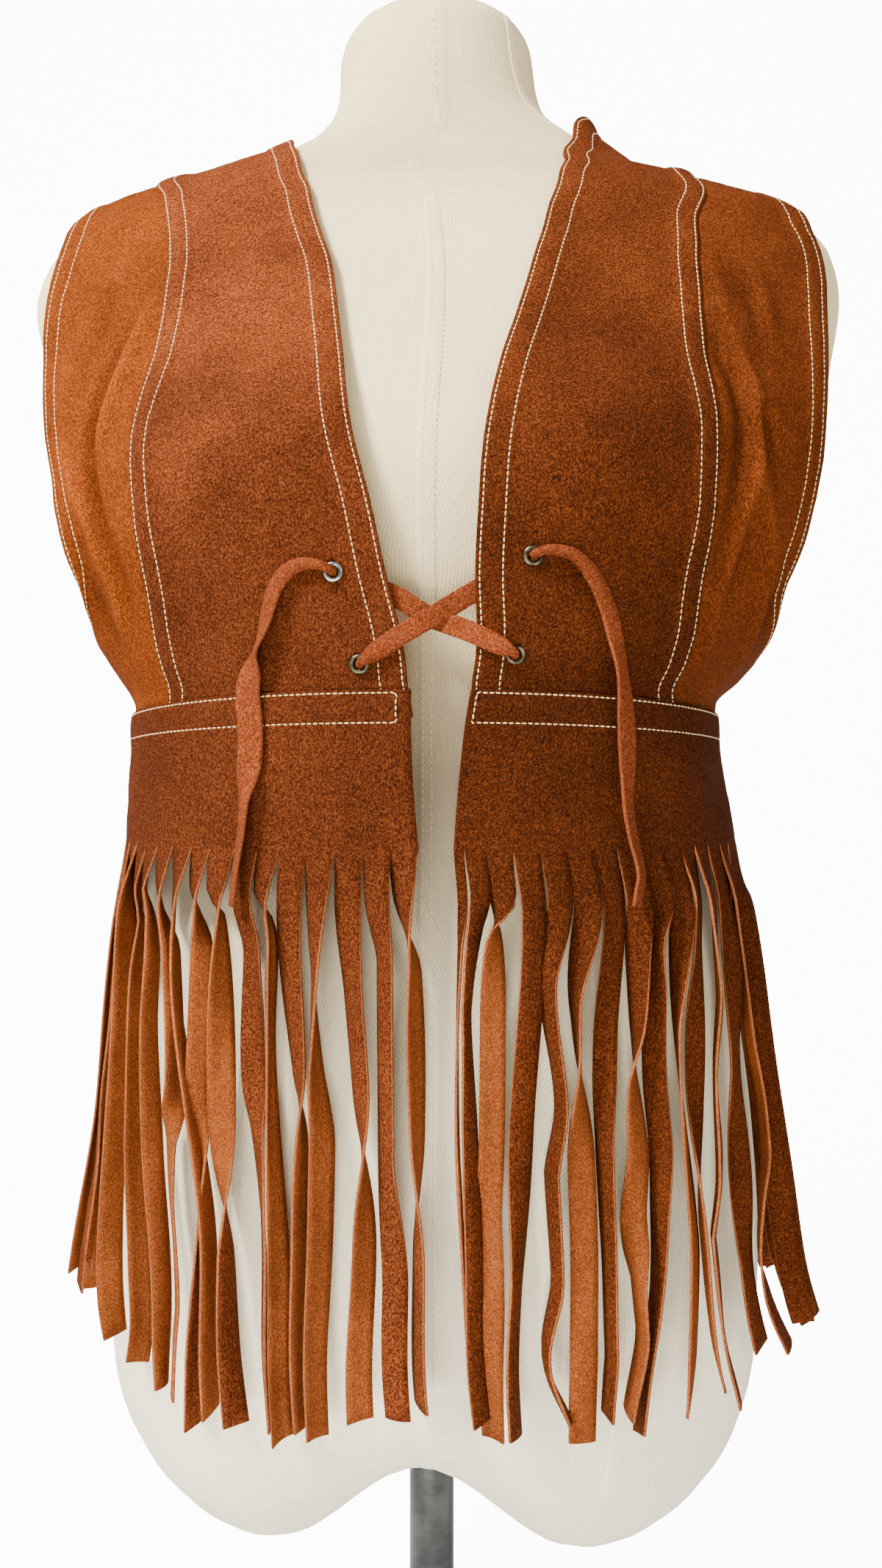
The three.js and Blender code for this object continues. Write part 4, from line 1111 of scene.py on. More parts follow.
z, angle, near, far, top = panel_grid(
    back_place, steps_in(ARMHOLE_ROWS), steps_in(ARMHOLE_ROWS), steps_in(FRONT_ROWS), 90, 92)
points = vest_point(z, angle)
folds = folds_over(points, BACK_FOLDS)
height = (sewn_edge(near, ARMHOLE_ROWS, 0.0004) + sewn_edge(far, ARMHOLE_ROWS, 0.0004)
          + sewn_edge(top, FRONT_ROWS, 0.0003) + folds
          + unevenness(points, (0.0004, 0.05), (0.00012, 0.012), 31))
tight = smooth_step(0.88, 0.9, z)
height = np.where(height < 0, height * (1 - 0.7 * tight), height)
ways = outward(vest_point, z, angle)
outer = points + ways * height[..., None]
back = suede_sheet("back_suede", outer, ways, SUEDE_FACE)
# The folds get painted highlight and painted shade in the nap's colour.
paint_fold_shade(back, folds, FOLD_PAINTED_SHADE_RISE["back"])
columns = [column for place in row_places(ARMHOLE_ROWS) for column in (place, -1 - place)]
stitches = sew("back_stitches", seam_lines(
    outer, ways, columns, 5, row_places(FRONT_ROWS, True), (3, 3)))
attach(back, "root")
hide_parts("back")


# ---- Peplum and fringe ----------------------------------------------------------------
# Three lengths of suede, lapped over the bodice's foot at the waist and sewn down with two
# rows that join in a box at the front edges. Below the hips each is slit into long strips,
# which hang free and have twisted with handling.

PEPLUM_TOP = 0.641
WAIST_DROOP = 0.006
FRINGE_TOP = 0.572
PEPLUM_PROUD = 0.002
PEPLUM_THICKNESS = 0.0017
STRIP_THICKNESS = 0.0012
STRIP_WIDTH = 0.0127
STRIP_ROWS = 46
STRIP_QUADS = 4
# How far inside the vest's line a strip hangs, how much less where it turns edge on, and
# how far each second one lies behind its neighbours.
STRIP_INSET, STRIP_SWING, STRIP_STAGGER = 0.0022, 0.0009, 0.0005
# Down a strip: where it leaves the peplum's lie, where it hangs free, and its usual tip.
STRIP_LEAVING, STRIP_FREE, STRIP_TIP = 0.551, 0.5425, 0.327
STRIP_BLEND = 0.03
PEPLUM_ROWS = (0.0015, 0.0145)

FRINGE_RINGS = [
    (0.316, 0.005, 0.002, 0.197, 0.131, 0.138, 2.3), (0.35, 0.002, 0.002, 0.19, 0.13, 0.139, 2.3),
    (0.4, 0.002, 0.001, 0.182, 0.128, 0.138, 2.3), (0.46, 0.001, 0.001, 0.174, 0.126, 0.134, 2.3),
    (0.52, 0, 0, 0.168, 0.124, 0.129, 2.3), (0.572, 0, 0, 0.163, 0.122, 0.125, 2.3),
]

# Where the slits are at the foot of the peplum, from front to side.
RIGHT_SLITS = [0.3, -2.5, -6, -10, -14.5, -19, -23, -27.5, -33, -37.5, -43, -48, -53, -58.5,
               -64.5, -71, -78, -84, -90]
LEFT_SLITS = [4.6, 6, 9, 13, 17.25, 21.5, 26.5, 31, 36.25, 41.25, 46.25, 51, 56, 61.75, 67,
              72.5, 78.5, 84, 90]

# How each strip hangs: the angle and turn that it leaves the slits with, and then height,
# angle round the body and turn from lying flat down to its tip.
RIGHT_STRIPS = [
    [(-1, -30), (.521, 0, -110), (.491, 0, -125), (.445, 0, -115), (.4, 0, -65), (.333, 0, -60)],
    [(-4, -10), (.525, -3, -50), (.436, -3, -50), (.385, -2, -5), (.328, -2, -15)],
    [(-8, 0), (.51, -7, -40), (.466, -6, -45), (.405, -5.5, -135), (.326, -6, -155)],
    [(-12.5, -15), (.476, -12, -100), (.446, -11, -135), (.318, -11, -120)],
    [(-17, 5), (.47, -14.5, -50), (.446, -14, -95), (.424, -14, -105), (.321, -13, -105)],
    [(-22, -30), (.541, -20, -80), (.529, -19, -90), (.494, -19, -85), (.36, -16, -140),
     (.315, -15.5, -130)],
    [(-26, -15), (.528, -23, -25), (.469, -22, 10), (.449, -21, -35), (.412, -19.5, -60),
     (.32, -17.5, -65)],
    [(-31, -15), (.542, -29, -65), (.442, -27, -180), (.393, -25, -270), (.319, -22, -300)],
    [(-36.5, -30), (.537, -34, -80), (.527, -33, -120), (.507, -33, -145), (.466, -33, -135),
     (.414, -30, -250), (.314, -29, -290)],
    [(-41, -30), (.392, -28, -90), (.322, -26, -95)],
    [(-47, -15), (.525, -41, -90), (.46, -38, -95), (.438, -38, -205), (.416, -37, -220),
     (.364, -33, -230), (.325, -33, -230)],
    [(-53, -25), (.54, -48, -50), (.519, -46, -75), (.493, -46, -80), (.436, -42.5, -105),
     (.361, -36, -100), (.328, -35, -80)],
    [(-58, -20), (.535, -52, -40), (.512, -52, -65), (.433, -48.5, -85), (.38, -43, -110),
     (.347, -40.5, -110), (.334, -41, -110)],
    [(-62, -30), (.534, -60, -60), (.5, -58, -70), (.435, -56, -80), (.397, -54, -90),
     (.359, -50, -110), (.342, -47, -90)],
    [(-68, -20), (.527, -69, -10), (.482, -70, -15), (.444, -71, -20), (.41, -73, 0),
     (.37, -76, 10), (.334, -80, 20)],
    [(-74, 0), (.53, -74, -15), (.48, -75, -25), (.43, -76, -20), (.38, -78, -35),
     (.345, -80, -40)],
    [(-81, 0), (.52, -81, 10), (.46, -82, 15), (.4, -84, 20), (.35, -86, 30), (.337, -87, 30)],
    [(-87, 0), (.52, -87, -20), (.46, -88, -30), (.4, -89, -45), (.352, -91, -55)],
]
LEFT_STRIPS = [
    [(5.5, 0), (.53, 5, -70), (.448, 4, -105), (.34, 5, -105)],
    [(8, 0), (.54, 7, 40), (.5, 5.5, 66), (.45, 5.5, 45), (.4, 5.5, 35), (.327, 5.5, 35)],
    [(11, 15), (.535, 9.5, -125), (.501, 9, -175), (.437, 8, -175), (.416, 7.5, -205),
     (.375, 7.5, -190), (.32, 6.5, -220)],
    [(15.5, 20), (.447, 12, 15), (.385, 10.5, 60), (.321, 9, 60)],
    [(20, 20), (.515, 17, -60), (.457, 18, -75), (.431, 16, -70), (.385, 16, -75),
     (.353, 14, -85), (.326, 16, -100)],
    [(24.5, 10), (.505, 21, -85), (.481, 21, -100), (.436, 20.5, -180), (.352, 19, -180),
     (.318, 17, -170)],
    [(29.5, 15), (.49, 26, -10), (.446, 24.5, -65), (.351, 23, -80), (.327, 21, -80)],
    [(34.5, 10), (.528, 33, -50), (.489, 31.5, -95), (.469, 30, -135), (.439, 30, -165),
     (.408, 28, -190), (.383, 28, -265), (.36, 28, -270), (.328, 24, -270)],
    [(40, 0), (.533, 37.5, -85), (.505, 36, -60), (.468, 34.5, -50), (.44, 34.5, -55),
     (.412, 33, -75), (.375, 31, -90), (.319, 25, -90)],
    [(45.5, 15), (.532, 43, -50), (.492, 40, -115), (.393, 39, -145), (.346, 36, -140),
     (.323, 33, -125)],
    [(50, 35), (.526, 48, 25), (.486, 45, -15), (.403, 41.5, 65), (.33, 41, 55)],
    [(53, 30), (.504, 53, 45), (.474, 49.5, 45), (.417, 46, 50), (.396, 43, 50), (.323, 43, 50)],
    [(60.5, 10), (.513, 60.5, -20), (.471, 57.5, 10), (.417, 53.5, -25), (.377, 52, 10),
     (.34, 52.5, 5)],
    [(66, 15), (.511, 66, 25), (.481, 65, 40), (.445, 67, 40), (.423, 65.5, 40), (.404, 60, 35),
     (.378, 56, 35), (.361, 57, 20), (.333, 61, 10)],
    [(70, -10), (.54, 70, -40), (.48, 70.5, -60), (.42, 71, -72), (.37, 72, -65),
     (.333, 73, -60)],
    [(76, 10), (.54, 76, -30), (.5, 77, -60), (.43, 79, -70), (.37, 81, -65), (.325, 82, -60)],
    [(81, 0), (.54, 81, 40), (.48, 83, 65), (.42, 85, 75), (.36, 88, 70), (.334, 90, 70)],
    [(87, 0), (.53, 87, -40), (.47, 88, -75), (.41, 90, -85), (.35, 93, -80), (.342, 93.5, -80)],
]


def fringe_point(z, angle):
    """Points of the surface that the strips hang in."""
    return ring_point(FRINGE_RINGS, z, angle)


def hanging_rule(middle, tip, picker):
    """How a strip hangs where it has no special pose: a slow twist and a sway."""
    turn = picker.uniform(-25, 25)
    angle = middle
    strip = [(angle, turn)]
    twist = picker.choice([-1, -1, -1, 1]) * picker.uniform(20, 75)
    for z in (0.535, 0.49, 0.44, 0.385):
        turn += twist * picker.uniform(0.1, 1.1)
        angle += picker.uniform(-0.8, 0.8)
        z += picker.uniform(-0.01, 0.01)
        if z < STRIP_FREE:
            strip.append((z, angle, turn))
        if picker.uniform() < 0.35:
            twist *= -0.5
    strip.append((tip, angle + picker.uniform(-0.9, 0.9), turn + picker.uniform(-15, 15)))
    return strip


def hang_strip(strip, middle, outer_top, inner_top, stagger, sense, seed, picker):
    """Corners of a strip by row, face and place across it.

    middle is its angle at the slits, and outer_top and inner_top are its corners there.
    """
    (slit_angle, slit_turn), *keys = strip
    tip = keys[-1][0]
    leaving = (STRIP_LEAVING, 0.6 * slit_angle + 0.4 * middle,
               0.6 * slit_turn + 0.2 * keys[0][2])
    keys = [(FRINGE_TOP, middle, 0), leaving, *keys]
    share_down = np.linspace(0, 1, STRIP_ROWS + 1)[1:] ** 1.05
    heights = FRINGE_TOP + (tip - FRINGE_TOP) * share_down
    angle, turn = ease(keys[::-1], heights).T
    turn = np.radians(turn)
    fallen = FRINGE_TOP - heights
    free = smooth_step(0, STRIP_BLEND, fallen)

    # The middle line starts where the peplum's lower edge really is.
    out = outward(fringe_point, heights, angle)
    start_line = (fringe_point(FRINGE_TOP, middle)
                  - outward(fringe_point, FRINGE_TOP, middle) * STRIP_INSET)
    start_shift = (outer_top[2] + inner_top[2]) / 2 - start_line
    inset = STRIP_INSET - STRIP_SWING * np.abs(np.sin(turn)) + stagger * free
    centre = (fringe_point(heights, angle) - out * inset[:, None]
              + start_shift * (1 - free)[:, None])

    along = unit(np.gradient(centre, axis=0))
    round_way = unit(np.cross(np.array([0, 0, 1.0]), out))
    across = round_way * np.cos(turn)[:, None] - out * np.sin(turn)[:, None]
    across = unit(across - along * (across * along).sum(axis=1)[:, None])
    face_way = unit(np.cross(across, -along))
    flat_way = out * np.cos(turn)[:, None] + round_way * np.sin(turn)[:, None]
    face_way *= np.sign((face_way * flat_way).sum(axis=1))[:, None]

    top_width = np.linalg.norm(outer_top[-1] - outer_top[0])
    width = top_width * (0.975 - 0.03 * smooth_step(0, 0.06, fallen))
    curl = picker.uniform(-0.0009, 0.0013)
    wobble = 0.0005 * ripples(centre, 0.04, seed, 4)
    slant = picker.uniform(-0.003, 0.003)
    places = np.linspace(-0.5, 0.5, STRIP_QUADS + 1)
    bow = ((curl + wobble) * free)[:, None] * (1 - 4 * places ** 2)
    at_tip = smooth_step(STRIP_ROWS - 6, STRIP_ROWS - 1, np.arange(STRIP_ROWS))
    drop = slant * at_tip[:, None] * places
    layers = np.array([0.5, -0.5])[:, None] * STRIP_THICKNESS
    sideways = (places * sense)[:, None] * width[:, None, None, None]
    return (centre[:, None, None] + across[:, None, None] * sideways
            + face_way[:, None, None] * (bow[:, None] + layers)[..., None]
            + along[:, None, None] * drop[:, None, :, None])


def slit_length(name, slits, front_angles, strips, seed, face):
    """One length of peplum with its strips, as a closed sheet.

    Also gives the grid that its thread lies on, and which two rows of it are sewn.
    """
    picker = np.random.default_rng(seed)
    count = len(slits) - 1
    columns = count * STRIP_QUADS + 1
    low_angles = np.interp(np.arange(columns), np.arange(count + 1) * STRIP_QUADS, slits)
    share = (low_angles - slits[0]) / (slits[-1] - slits[0])
    depth = np.concatenate([
        [0, 0.0005], np.array(PEPLUM_ROWS[0]) + np.array([-0.0004, 0, 0.0006, 0.0014]),
        [0.0045, 0.0065, 0.0085, 0.0105, 0.0125],
        np.array(PEPLUM_ROWS[1]) + np.array([-0.0007, 0, 0.0007, 0.0016]),
        np.linspace(0.0185, PEPLUM_TOP - FRINGE_TOP, 19)])
    rows = len(depth)
    up = 1 - depth[:, None] / (PEPLUM_TOP - FRINGE_TOP)
    droop = WAIST_DROOP * np.sin(np.radians(low_angles)) ** 2
    z = PEPLUM_TOP - depth[:, None] - droop * up
    edge_low = front_angles[0] + (front_angles[1] - front_angles[0]) * up
    angle = edge_low + (slits[-1] - edge_low) * share
    points = vest_point(z, angle)
    ways = outward(vest_point, z, angle)
    deep = np.repeat(depth[:, None], columns, axis=1)
    height = (PEPLUM_PROUD + sewn_edge(deep, PEPLUM_ROWS, 0.0003)
              + 0.0005 * ripples(points, 0.05, seed) * smooth_step(0.01, 0.03, deep)
              + 0.00014 * ripples(points, 0.012, seed + 1))
    # The length thins down to the strips' own thickness above the slits.
    near_slit = smooth_step(0.015, 0, z - FRINGE_TOP)
    thickness = PEPLUM_THICKNESS + (STRIP_THICKNESS - PEPLUM_THICKNESS) * near_slit
    outer = points + ways * height[..., None]
    inner = outer - ways * thickness[..., None]

    layer = rows * columns
    verts = [*outer.reshape(-1, 3), *inner.reshape(-1, 3)]
    faces, slots = two_layers(rows, columns, downward=True)
    for j in range(rows - 1):
        a, b = j * columns, (j + 1) * columns
        faces.append((a, layer + a, layer + b, b))
        a, b = a + columns - 1, b + columns - 1
        faces.append((b, layer + b, layer + a, a))
    faces += [(i, i + 1, layer + i + 1, layer + i) for i in range(columns - 1)]
    slots += [2] * (len(faces) - len(slots))

    def corner(k, row, side, i):
        """A corner of strip k. Its row -1 is the lower edge of the peplum itself."""
        if row < 0:
            return side * layer + layer - columns + k * STRIP_QUADS + i
        return 2 * layer + ((k * STRIP_ROWS + row) * 2 + side) * (STRIP_QUADS + 1) + i

    end = STRIP_ROWS - 1
    for k in range(count):
        middle = (slits[k] + slits[k + 1]) / 2
        rule_tip = STRIP_TIP + picker.uniform(-0.008, 0.008)
        strip = strips[k] if strips else hanging_rule(middle, rule_tip, picker)
        top = np.s_[-1, k * STRIP_QUADS:(k + 1) * STRIP_QUADS + 1]
        verts += [*hang_strip(strip, middle, outer[top], inner[top],
                              STRIP_STAGGER * (-1) ** k, np.sign(slits[-1] - slits[0]),
                              seed + 10 + k, picker).reshape(-1, 3)]
        for row in range(-1, end):
            for i in range(STRIP_QUADS):
                faces.append((corner(k, row, 0, i), corner(k, row + 1, 0, i),
                              corner(k, row + 1, 0, i + 1), corner(k, row, 0, i + 1)))
                faces.append((corner(k, row, 1, i), corner(k, row, 1, i + 1),
                              corner(k, row + 1, 1, i + 1), corner(k, row + 1, 1, i)))
                slots += [0, 1]
            faces.append((corner(k, row, 0, 0), corner(k, row, 1, 0),
                          corner(k, row + 1, 1, 0), corner(k, row + 1, 0, 0)))
            i = STRIP_QUADS
            faces.append((corner(k, row + 1, 0, i), corner(k, row + 1, 1, i),
                          corner(k, row, 1, i), corner(k, row, 0, i)))
            slots += [2, 2]
        for i in range(STRIP_QUADS):
            faces.append((corner(k, end, 0, i), corner(k, end, 1, i),
                          corner(k, end, 1, i + 1), corner(k, end, 0, i + 1)))
            slots.append(2)
    sheet = plain_mesh(name, verts, faces, slots, [face, SUEDE_REVERSE, SUEDE_EDGE])
    face_outwards(sheet)
    first_row, second_row = (list(depth).index(row) for row in PEPLUM_ROWS)
    return sheet, outer + ways * THREAD_LIFT, first_row, second_row


def even_slits(start, end, width):
    """Slit angles from start to end, about a width apart along the surface."""
    angles = np.linspace(start, end, 721)
    line = fringe_point(FRINGE_TOP, angles)
    length = np.concatenate([[0], np.cumsum(np.linalg.norm(np.diff(line, axis=0), axis=1))])
    count = round(length[-1] / width)
    return list(np.interp(np.linspace(0, length[-1], count + 1), length, angles))


# Name, slits, angle of the front edge at the fringe and at the waist, strips, seed, width
# of the cut, columns that the box of stitches stands in from the front edge, and nap, which on
# the left front is darker all over as painted shade.
PEPLUM_LENGTHS = [
    ("front_right", RIGHT_SLITS, (0.5, 0.3), RIGHT_STRIPS, 41, 0.221, 2, SUEDE_FACE),
    ("front_left", LEFT_SLITS, (4.6, 7.9), LEFT_STRIPS, 51, 0.212, 3, SUEDE_FACE_PAINTED_SHADE),
    ("back", even_slits(90, 270, STRIP_WIDTH), (90, 90), [], 61, 0.462, 0, SUEDE_FACE),
]
for word, slits, front_angles, strips, seed, wide, inset_columns, finish in PEPLUM_LENGTHS:
    sheet, sewn, first_row, second_row = slit_length(
        f"peplum_{word}_suede", slits, front_angles, strips, seed, finish)
    thread_lines = [sewn[first_row, 1:-1], sewn[second_row, 1:-1]]
    if inset_columns:
        thread_lines = [np.concatenate([
            sewn[first_row, -2:inset_columns:-1],
            sewn[first_row:second_row + 1, inset_columns],
            sewn[second_row, inset_columns + 1:-1]])]
    stitches = sew(f"peplum_{word}_stitches", thread_lines)
    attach(sheet, "root")
    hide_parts(f"peplum_{word}", f"fringe_{word}")


# ---- Dress form -----------------------------------------------------------------------
# A limbless hard form covered in ivory canvas, cut in eight gores with lapped seams. It
# closes over its neck, rounds into two lobes below the hips, and has a socket underneath.

FORM_RINGS = [
    (0.33, 0, 0.002, 0.171, 0.112, 0.122, 2.3), (0.365, 0, 0.001, 0.172, 0.113, 0.125, 2.3),
    (0.41, 0, 0.001, 0.17, 0.113, 0.126, 2.3), (0.46, 0, 0.001, 0.165, 0.113, 0.122, 2.3),
    (0.52, 0, 0, 0.156, 0.109, 0.114, 2.3), (0.58, 0, 0, 0.147, 0.1, 0.105, 2.3),
    (0.64, 0, 0, 0.144, 0.097, 0.1, 2.3), (0.67, 0, 0, 0.164, 0.1, 0.101, 2.3),
    (0.7, 0, 0, 0.182, 0.107, 0.104, 2.3), (0.745, 0, 0.001, 0.197, 0.112, 0.11, 2.3),
    (0.78, 0.001, 0.002, 0.204, 0.105, 0.114, 2.3),
    (0.815, 0.002, 0.004, 0.209, 0.091, 0.115, 2.3),
    (0.85, 0.002, 0.006, 0.212, 0.076, 0.111, 2.25),
    (0.878, 0, 0.008, 0.208, 0.065, 0.102, 2.2),
    (0.897, -0.002, 0.009, 0.199, 0.057, 0.089, 2.1),
    (0.912, -0.009, 0.01, 0.174, 0.05, 0.078, 2.1),
    (0.925, -0.009, 0.01, 0.132, 0.044, 0.071, 2), (0.937, 0, 0.01, 0.102, 0.039, 0.063, 2),
    (0.947, 0.004, 0.011, 0.08, 0.038, 0.056, 2), (0.96, 0.003, 0.012, 0.062, 0.042, 0.052, 2),
    (0.975, 0.003, 0.013, 0.055, 0.048, 0.051, 2), (0.995, 0.002, 0.014, 0.053, 0.051, 0.051, 2),
]
FORM_GIRDLE = 0.33
LOBE_MIDDLE = 0.002
LOBE_DEPTH = 0.132
LOBE_POWER = 2.4
ARCH_RISE = 0.064
ARCH_HALF_WIDTH = 0.052
LOBE_LEVELS, TORSO_LEVELS = 22, 112
NECK_MIDDLE = (0.002, 0.014)
NECK_SHOULDER, NECK_TOP = 0.995, 1.01
SOCKET_TOP = 0.288
SOCKET_RADIUS = 0.01235
GORE_SEAM_STEPS = np.array([-9, -6, -3.5, -2, -1, -0.4, 0, 0.4, 1, 2, 4, 6, 7.2, 8.5]) / 1000
GORE_LAP_RISE, GORE_SEAM_SINK = 0.0005, 0.00035
GORE_ROWS = (0.0014, 0.0052)
# A distance across a seam that is well past its lap.
PLAIN_CANVAS = 0.02
GORE_THREAD_LIFT = 0.0005
# About how far one degree reaches along the form at its centre front and centre back.
CENTRE_PER_DEGREE = 0.0035

# The angle of the front and back gore seams by height, the same on both sides.
FRONT_GORE = [(0.33, 27.5), (0.46, 27), (0.64, 26), (0.745, 36), (0.85, 42), (0.9, 52),
              (0.93, 62), (0.955, 50), (1.01, 45)]
BACK_GORE = [(0.33, 152), (0.46, 152), (0.64, 155), (0.745, 148), (0.85, 142), (0.92, 130),
             (0.955, 134), (1.01, 135)]

# The right and left shoulder caps, which fill the armholes: rise, height of the middle and
# half height.
CAPS = {-1: (0.011, 0.868, 0.036), 1: (0.009, 0.885, 0.04)}


def form_point(z, angle):
    """Points of the form, swelling out to its shoulder caps."""
    z, angle = np.broadcast_arrays(np.asarray(z, float), np.asarray(angle, float))
    point = ring_point(FORM_RINGS, z, angle)
    wrapped = (angle + 180) % 360 - 180
    away = np.clip((np.abs(wrapped) - 90) / 20, -1, 1)
    for sign, (rise, middle, half_height) in CAPS.items():
        swell = rise * np.exp(-((z - middle) / half_height) ** 2) * (1 - away ** 2) ** 2
        swell *= (np.sign(wrapped) == sign) * (1 - smooth_step(0.896, 0.908, z))
        point[..., 0] += sign * swell
    return point


def gore_columns(z):
    """Angles round the form at a height, close together at its eight seams."""
    front = read_table(FRONT_GORE, z)[..., 1]
    rear = read_table(BACK_GORE, z)[..., 1]
    seams = [0, front, 90, rear, 180, 360 - rear, 270, 360 - front, 360]
    columns, offsets = [], []
    for k in range(8):
        here, onward = seams[k], seams[k + 1]
        per_degree = [np.linalg.norm(form_point(z, a + 0.5) - form_point(z, a - 0.5))
                      for a in (here + 1, onward - 1)]
        start = here + GORE_SEAM_STEPS[6:] / per_degree[0]
        stop = onward + GORE_SEAM_STEPS[:6] / per_degree[1]
        columns += [*start, *np.linspace(start[-1], stop[0], 7)[1:-1], *stop]
        offsets += [*GORE_SEAM_STEPS[6:], *[PLAIN_CANVAS] * 5, *GORE_SEAM_STEPS[:6]]
    return np.array(columns), np.array(offsets)


def lapped_seam(offset):
    """Height of a lapped canvas seam by distance across it."""
    return (GORE_LAP_RISE * smooth_step(-0.0004, 0.0004, offset)
            * (1 - smooth_step(0.0062, 0.0076, offset))
            - GORE_SEAM_SINK * np.exp(-(offset / 0.0005) ** 2))


form_rings = []
girdle_columns, seam_offsets = gore_columns(FORM_GIRDLE)
girdle_relief = lapped_seam(seam_offsets)[:, None]
girdle = form_point(FORM_GIRDLE, girdle_columns)
girdle_ways = outward(form_point, np.full(len(girdle_columns), FORM_GIRDLE + 0.0005),
                      girdle_columns)
socket_angle = np.arctan2(girdle[:, 1], girdle[:, 0])
socket = np.column_stack([SOCKET_RADIUS * np.cos(socket_angle),
                          SOCKET_RADIUS * np.sin(socket_angle)])
for turn in np.linspace(0.085, math.pi / 2, LOBE_LEVELS)[:-1]:
    radius = math.sin(turn) ** (2 / LOBE_POWER)
    fall = math.cos(turn) ** (2 / LOBE_POWER)
    ring = girdle.copy()
    ring[:, 0] = girdle[:, 0] * radius
    ring[:, 1] = LOBE_MIDDLE + (girdle[:, 1] - LOBE_MIDDLE) * radius
    arch = ARCH_RISE * np.exp(-(ring[:, 0] / ARCH_HALF_WIDTH) ** 2)
    ring[:, 2] = FORM_GIRDLE - (LOBE_DEPTH - arch) * fall
    form_rings.append(ring + girdle_ways * girdle_relief * radius)
mouth_z = float(form_rings[0][:, 2].max()) + 0.001
mouth = np.column_stack([socket, np.full(len(socket), mouth_z)])
roof = np.column_stack([socket, np.full(len(socket), SOCKET_TOP)])
form_rings = [roof, (roof + mouth) / 2, mouth, *form_rings]
for z in np.linspace(FORM_GIRDLE, NECK_SHOULDER, TORSO_LEVELS):
    columns, seam_offsets = gore_columns(z)
    ways = outward(form_point, np.full(len(columns), z), columns)
    form_rings.append(form_point(z, columns) + ways * lapped_seam(seam_offsets)[:, None])
neck = form_rings[-1]
neck_sizes = [
    (1 - 0.2 * (1 - math.sqrt(1 - share ** 2)) / (1 - math.sqrt(1 - 0.985 ** 2)),
     NECK_SHOULDER + (NECK_TOP - NECK_SHOULDER) * share)
    for share in (0.15, 0.32, 0.5, 0.66, 0.79, 0.88, 0.95, 0.985)]
neck_sizes += [(0.72, NECK_TOP - 0.0002), (0.6, NECK_TOP), (0.4, NECK_TOP), (0.2, NECK_TOP)]
for size, height in neck_sizes:
    flat = NECK_MIDDLE + (neck[:, :2] - NECK_MIDDLE) * size
    form_rings.append(np.column_stack([flat, np.full(len(neck), height)]))

form_rings = np.array(form_rings)
ring_count, around = form_rings.shape[:2]
form_verts = [*form_rings.reshape(-1, 3), (0, 0, SOCKET_TOP), (*NECK_MIDDLE, NECK_TOP)]
form_faces = ring_faces(ring_count, around)
last = (ring_count - 1) * around
for i in range(around):
    k = (i + 1) % around
    form_faces.append((ring_count * around, k, i))
    form_faces.append((ring_count * around + 1, last + i, last + k))


def weave_group():
    """A plain weave on a cloth's own map: threads over and under, slubs and its height."""
    group, given = node_group(
        "plain weave", "ShaderNodeTree", [("Map", "Vector"), ("Thread count", "Float")],
        [("Weave", "Float"), ("Slubs", "Float"), ("Height", "Float")])
    threads = node(group, "ShaderNodeVectorMath", {
        0: given["Map"], "Scale": given["Thread count"]}, operation="SCALE")
    uneven = node(group, "ShaderNodeTexNoise", {
        "Vector": threads.outputs[0], "Scale": 0.11, "Detail": 2})
    moved = node(group, "ShaderNodeVectorMath", {
        0: uneven.outputs["Color"], 1: (1.3, 1.3, 0), 2: threads.outputs[0]},
        operation="MULTIPLY_ADD")
    parts = node(group, "ShaderNodeSeparateXYZ", {0: moved.outputs[0]})
    waves = [maths(group, "SINE", maths(group, "MULTIPLY", parts.outputs[part], math.pi))
             for part in ("X", "Y")]
    weave = spread(group, maths(group, "MULTIPLY", *waves), -1, 1)
    long_way = node(group, "ShaderNodeVectorMath", {
        0: threads.outputs[0], 1: (0.9, 0.035, 1)}, operation="MULTIPLY").outputs[0]
    slubs = noise(group, long_way, 1)
    node(group, "NodeGroupOutput", {
        "Weave": weave, "Slubs": slubs, "Height": maths(group, "ADD", weave, slubs)})
    return group


CANVAS, canvas_tree, canvas_shader, canvas_place = material("ivory canvas")
canvas_map = node(canvas_tree, "ShaderNodeUVMap", uv_map="cloth")
weave = node(canvas_tree, "ShaderNodeGroup", {
    "Map": canvas_map.outputs[0], "Thread count": 1150}, node_tree=weave_group()).outputs
canvas_up = node(canvas_tree, "ShaderNodeSeparateXYZ", {0: canvas_place}).outputs["Z"]
canvas_tone = ramp(canvas_tree, weave["Weave"], [
    (0.1, paint(228, 208, 164)), (0.55, paint(253, 242, 206)), (1, paint(255, 248, 224))])
for factor, stops in (
        (weave["Slubs"], [(0.3, 0.9), (0.5, 1.0), (0.7, 1.05)]),
        # Soiling in soft patches.
        (noise(canvas_tree, canvas_place, 14, 4), [(0.3, 0.93), (0.6, 1.0)]),
        # Painted shade in the vest's open front, darkest at the waist under the vest, and a
        # painted warm reflection of the suede over the chest; clean below.
        (canvas_up, [(0.36, 1.0), (0.47, (0.8, 0.77, 0.72, 1)), (0.6, (0.42, 0.36, 0.31, 1)),
                     (0.66, (0.62, 0.52, 0.41, 1)), (0.76, (0.98, 0.87, 0.68, 1))])):
    canvas_tone = multiplied(canvas_tree, canvas_tone, ramp(canvas_tree, factor, stops))
fill(canvas_shader, {
    "Base Color": canvas_tone, "Normal": relief(canvas_tree, weave["Height"], 0.00025, 0.8),
    "Roughness": 0.9, "Specular IOR Level": 0.25, "Sheen Weight": 0.12})

